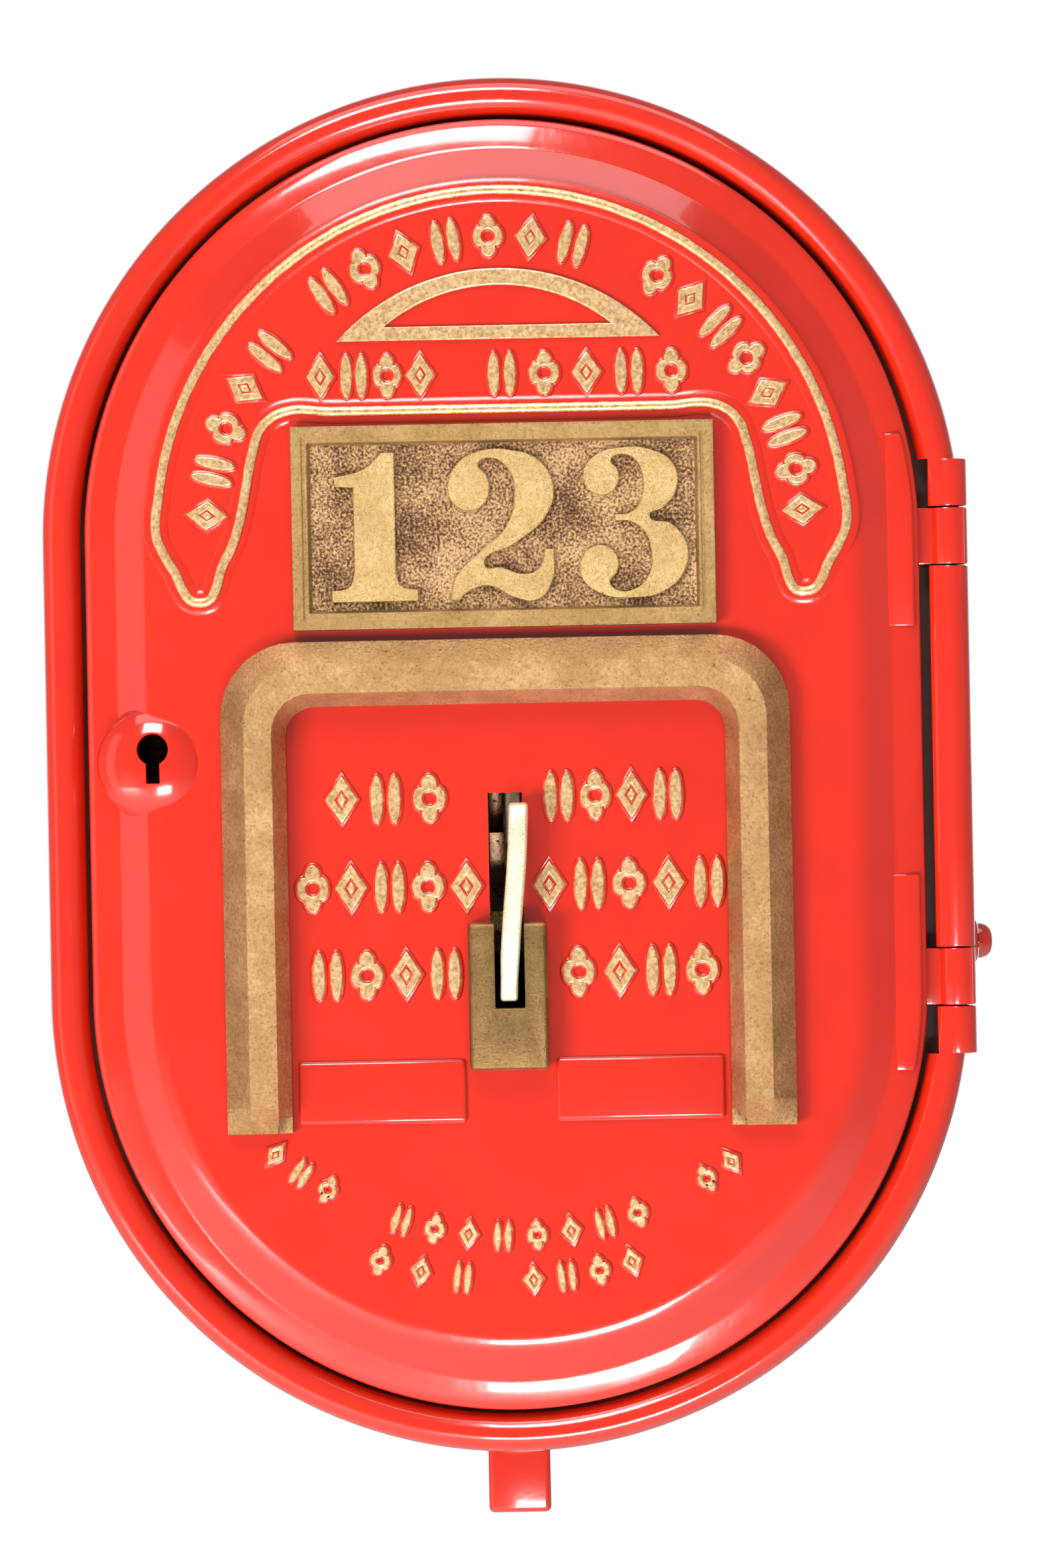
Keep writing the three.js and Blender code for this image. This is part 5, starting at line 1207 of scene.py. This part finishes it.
def guard_path():
    """Outer and inner points from the left foot to the right one, with the end slope's share."""
    path = [(-GUARD_OUT, GUARD_FOOT, -GUARD_IN, GUARD_FOOT, 0)]
    path.append((-GUARD_OUT, GUARD_FOOT + FOOT_SLOPE, -GUARD_IN, GUARD_FOOT + FOOT_SLOPE, 1))
    for step in range(9):
        angle = math.radians(180 - 90 * step / 8)
        across, up = math.cos(angle), math.sin(angle)
        outer_x = -GUARD_OUT + OUTER_ROUND + OUTER_ROUND * across
        outer_z = GUARD_TOP - OUTER_ROUND + OUTER_ROUND * up
        inner_x = -GUARD_IN + INNER_ROUND + INNER_ROUND * across
        inner_z = GUARD_UNDER - INNER_ROUND + INNER_ROUND * up
        path.append((outer_x, outer_z, inner_x, inner_z, 1))
    mirrored = [(-xo, zo, -xi, zi, share) for xo, zo, xi, zi, share in reversed(path)]
    return path + mirrored


def guard_ring(xo, zo, xi, zi, share):
    """The section of the guard at one place: edge, slope, flat, and inner side."""
    front = GUARD_BACK - GUARD_EDGE + (GUARD_FRONT - GUARD_BACK + GUARD_EDGE) * share
    section = [(0, GUARD_BACK), (0, GUARD_BACK - GUARD_EDGE), (0.37, front), (0.8, front)]
    section += [(1, GUARD_BACK - 4), (1, GUARD_BACK)]
    ring = []
    for part, depth in section:
        ring.append((xo + (xi - xo) * part, depth, zo + (zi - zo) * part))
    return ring


def glass_guard():
    """A bowed U of cast brass over the opening."""
    guard = swept("glass_guard_casting", [guard_ring(*place) for place in guard_path()])
    for side in (-1, 1):
        near, far = sorted((side * (GUARD_IN - 1), side * (GUARD_IN + 4.2)))
        work(guard, "DIFFERENCE", block("notch", near, far, -108.4, -104.4, GUARD_FOOT - 1, GUARD_FOOT + 5))
    soften(guard, 1.3, 4, 24)
    return finish_piece(guard, "door", "gilded_brass", GUARD_BRASS, stands_for=("glass_guard",), smooth=40)


glass_guard()

# ---------------------------------------------------------------- hook, its guide, and the trip lever


def hook_guide():
    """The slotted block under the hook."""
    guide = block("hook_guide_casting", -12.35, 11.35, -110.4, -101.8, -91.3, -47.3)
    soften(guide, 1.3, 3)
    work(guide, "DIFFERENCE", block("slot", -4.4, 4.4, -112, -100, -72.9, -40))
    soften(guide, 0.3, 2, 60)
    return finish_piece(guide, "door", "cast_brass", GUIDE_BRASS, stands_for=("hook_guide",), smooth=40)


HOOK_HALF = 2.9
HOOK_STATIONS = (
    # height, front depth, back depth
    (-11.5, -111.4, -106.2),
    (-13.5, -113.0, -104.9),
    (-18, -113.5, -104.4),
    (-24, -113.8, -104.4),
    (-31, -113.7, -105.6),
    (-40, -113.3, -107.6),
    (-48, -112.8, -107.5),
    (-57, -112, -107.2),
    (-64, -111.3, -106.9),
    (-70.8, -110.6, -106.4),
)


def hook_lean(height):
    """Sideways place of the bar's middle: a lean with a slight double curve."""
    share = (height + 41.15) / 29.65
    return 1.6 + 0.064 * (height + 41.15) + 0.35 * math.sin(math.pi * share)


def pull_hook():
    """The hook: a leaning bar in front of the door, and the shank and hub that carry it."""
    rings = []
    for height, front, back in HOOK_STATIONS:
        middle = hook_lean(height)
        half = HOOK_HALF - 0.25 * (height < -60)
        rings.append([
            (middle - half, back, height),
            (middle - half, front, height),
            (middle + half, front, height),
            (middle + half, back, height),
        ])
    bar = swept("bar", rings)
    soften(bar, 1.1, 4, 50)
    shank = block("shank", 0.8, 4.2, -105.5, -83.5, -26, -16)
    soften(shank, 0.6, 3)
    arm = block("arm", -0.6, 4.2, -87, -82.5, -24, 20)
    soften(arm, 0.6, 3)
    hub = rod("hub", "X", PIVOT, 5.5, 4.8)
    for part in (hub, arm):
        work(part, "DIFFERENCE", rod("pin_hole", "X", PIVOT, 2.8, 8))
    soften(hub, 0.4, 2)
    hook = gather("pull_hook_bar", [bar, shank, arm, hub])
    finish_piece(hook, "pull_hook", "polished_brass", HOOK_BRASS, stands_for=("pull_hook",), smooth=40)


def side_screw():
    """The domed screw in the box's right side."""
    profile = [(0.4, -4.55), (2.4, -4.35), (3.9, -3.7), (4.9, -2.5), (5.35, -1.1), (5.4, 0)]
    profile += [(2.2, 0), (2.2, 8)]
    screw = turned("side_screw_head", profile)
    set_down(screw, (0, 0, math.pi / 2), (SCREW_X, SCREW_Y, SCREW_Z))
    return finish_piece(screw, "wall_box", "red_enamel", ENAMEL, stands_for=("side_screw",))


hook_guide()
pull_hook()
side_screw()

# ---------------------------------------------------------------- inner pieces

INNER_FINISH = {
    "red_enamel": ENAMEL,
    "gilded_brass": GUARD_BRASS,
    "cast_brass": GUIDE_BRASS,
    "polished_brass": HOOK_BRASS,
    "copper": COPPER,
    "brass": BRASS,
    "steel": STEEL,
    "blued_steel": BLUED,
    "fibre": FIBRE,
    "cloth_covered_wire": BRAID,
}
REMADE = {"back_box", "door", "number_plate", "glass_guard", "hook_guide", "pull_hook", "side_screw"}
AS_THEY_ARE = {"lead_1", "lead_2", "mainspring", "hook_spring", "contact_spring_1", "contact_spring_2"}
# the lock's pieces take the brown-black brass that paints the shade inside the keyhole
FINISH_APART = {"lock_body": LOCK_SHADE_BRASS, "lock_bolt": LOCK_SHADE_BRASS}
EDGE = 0.25  # rounding of a machined edge


def dressed_copy(name, node, body, slot, material):
    """A copy of a machined piece with its edges eased."""
    bpy.ops.object.select_all(action="DESELECT")
    piece = bpy.data.objects.new(name + "_dressed", node.data.copy())
    bpy.context.collection.objects.link(piece)
    only(piece)
    piece.scale = (1 / MM, 1 / MM, 1 / MM)
    bpy.ops.object.transform_apply(location=True, rotation=True, scale=True)
    bpy.ops.object.mode_set(mode="EDIT")
    bpy.ops.mesh.select_all(action="SELECT")
    bpy.ops.mesh.remove_doubles(threshold=0.002)
    bpy.ops.mesh.dissolve_limited(angle_limit=math.radians(1))
    bpy.ops.object.mode_set(mode="OBJECT")
    soften(piece, EDGE, 2, 40)
    piece.data.materials.clear()
    return finish_piece(piece, body, slot, material, stands_for=(name,), smooth=35)


def dress_inner_pieces():
    """Every remaining piece takes its finish, and the machined ones get eased edges."""
    owners = {}
    for body, members in frame["record"]["behaviour"]["bodies"].items():
        for name in members:
            owners[name] = body
    for part in frame["record"]["subparts"]:
        name, slot = part["node"], part["material_slot"]
        if name in REMADE:
            continue
        node = frame["nodes"][name]
        if name in AS_THEY_ARE:
            node.data.materials.clear()
            node.data.materials.append(INNER_FINISH[slot])
            continue
        finish = FINISH_APART.get(name, INNER_FINISH[slot])
        dressed_copy(name, node, owners[name], slot, finish)


dress_inner_pieces()

# ---------------------------------------------------------------- floor and end

FLOOR_Z = -0.90


def floor():
    """A plain pale floor under the object."""
    bpy.ops.object.select_all(action="DESELECT")
    bpy.ops.mesh.primitive_plane_add(size=8, location=(0, 0, FLOOR_Z))
    board = bpy.context.object
    board.name = "floor"
    board.data.materials.append(pale_floor())


floor()
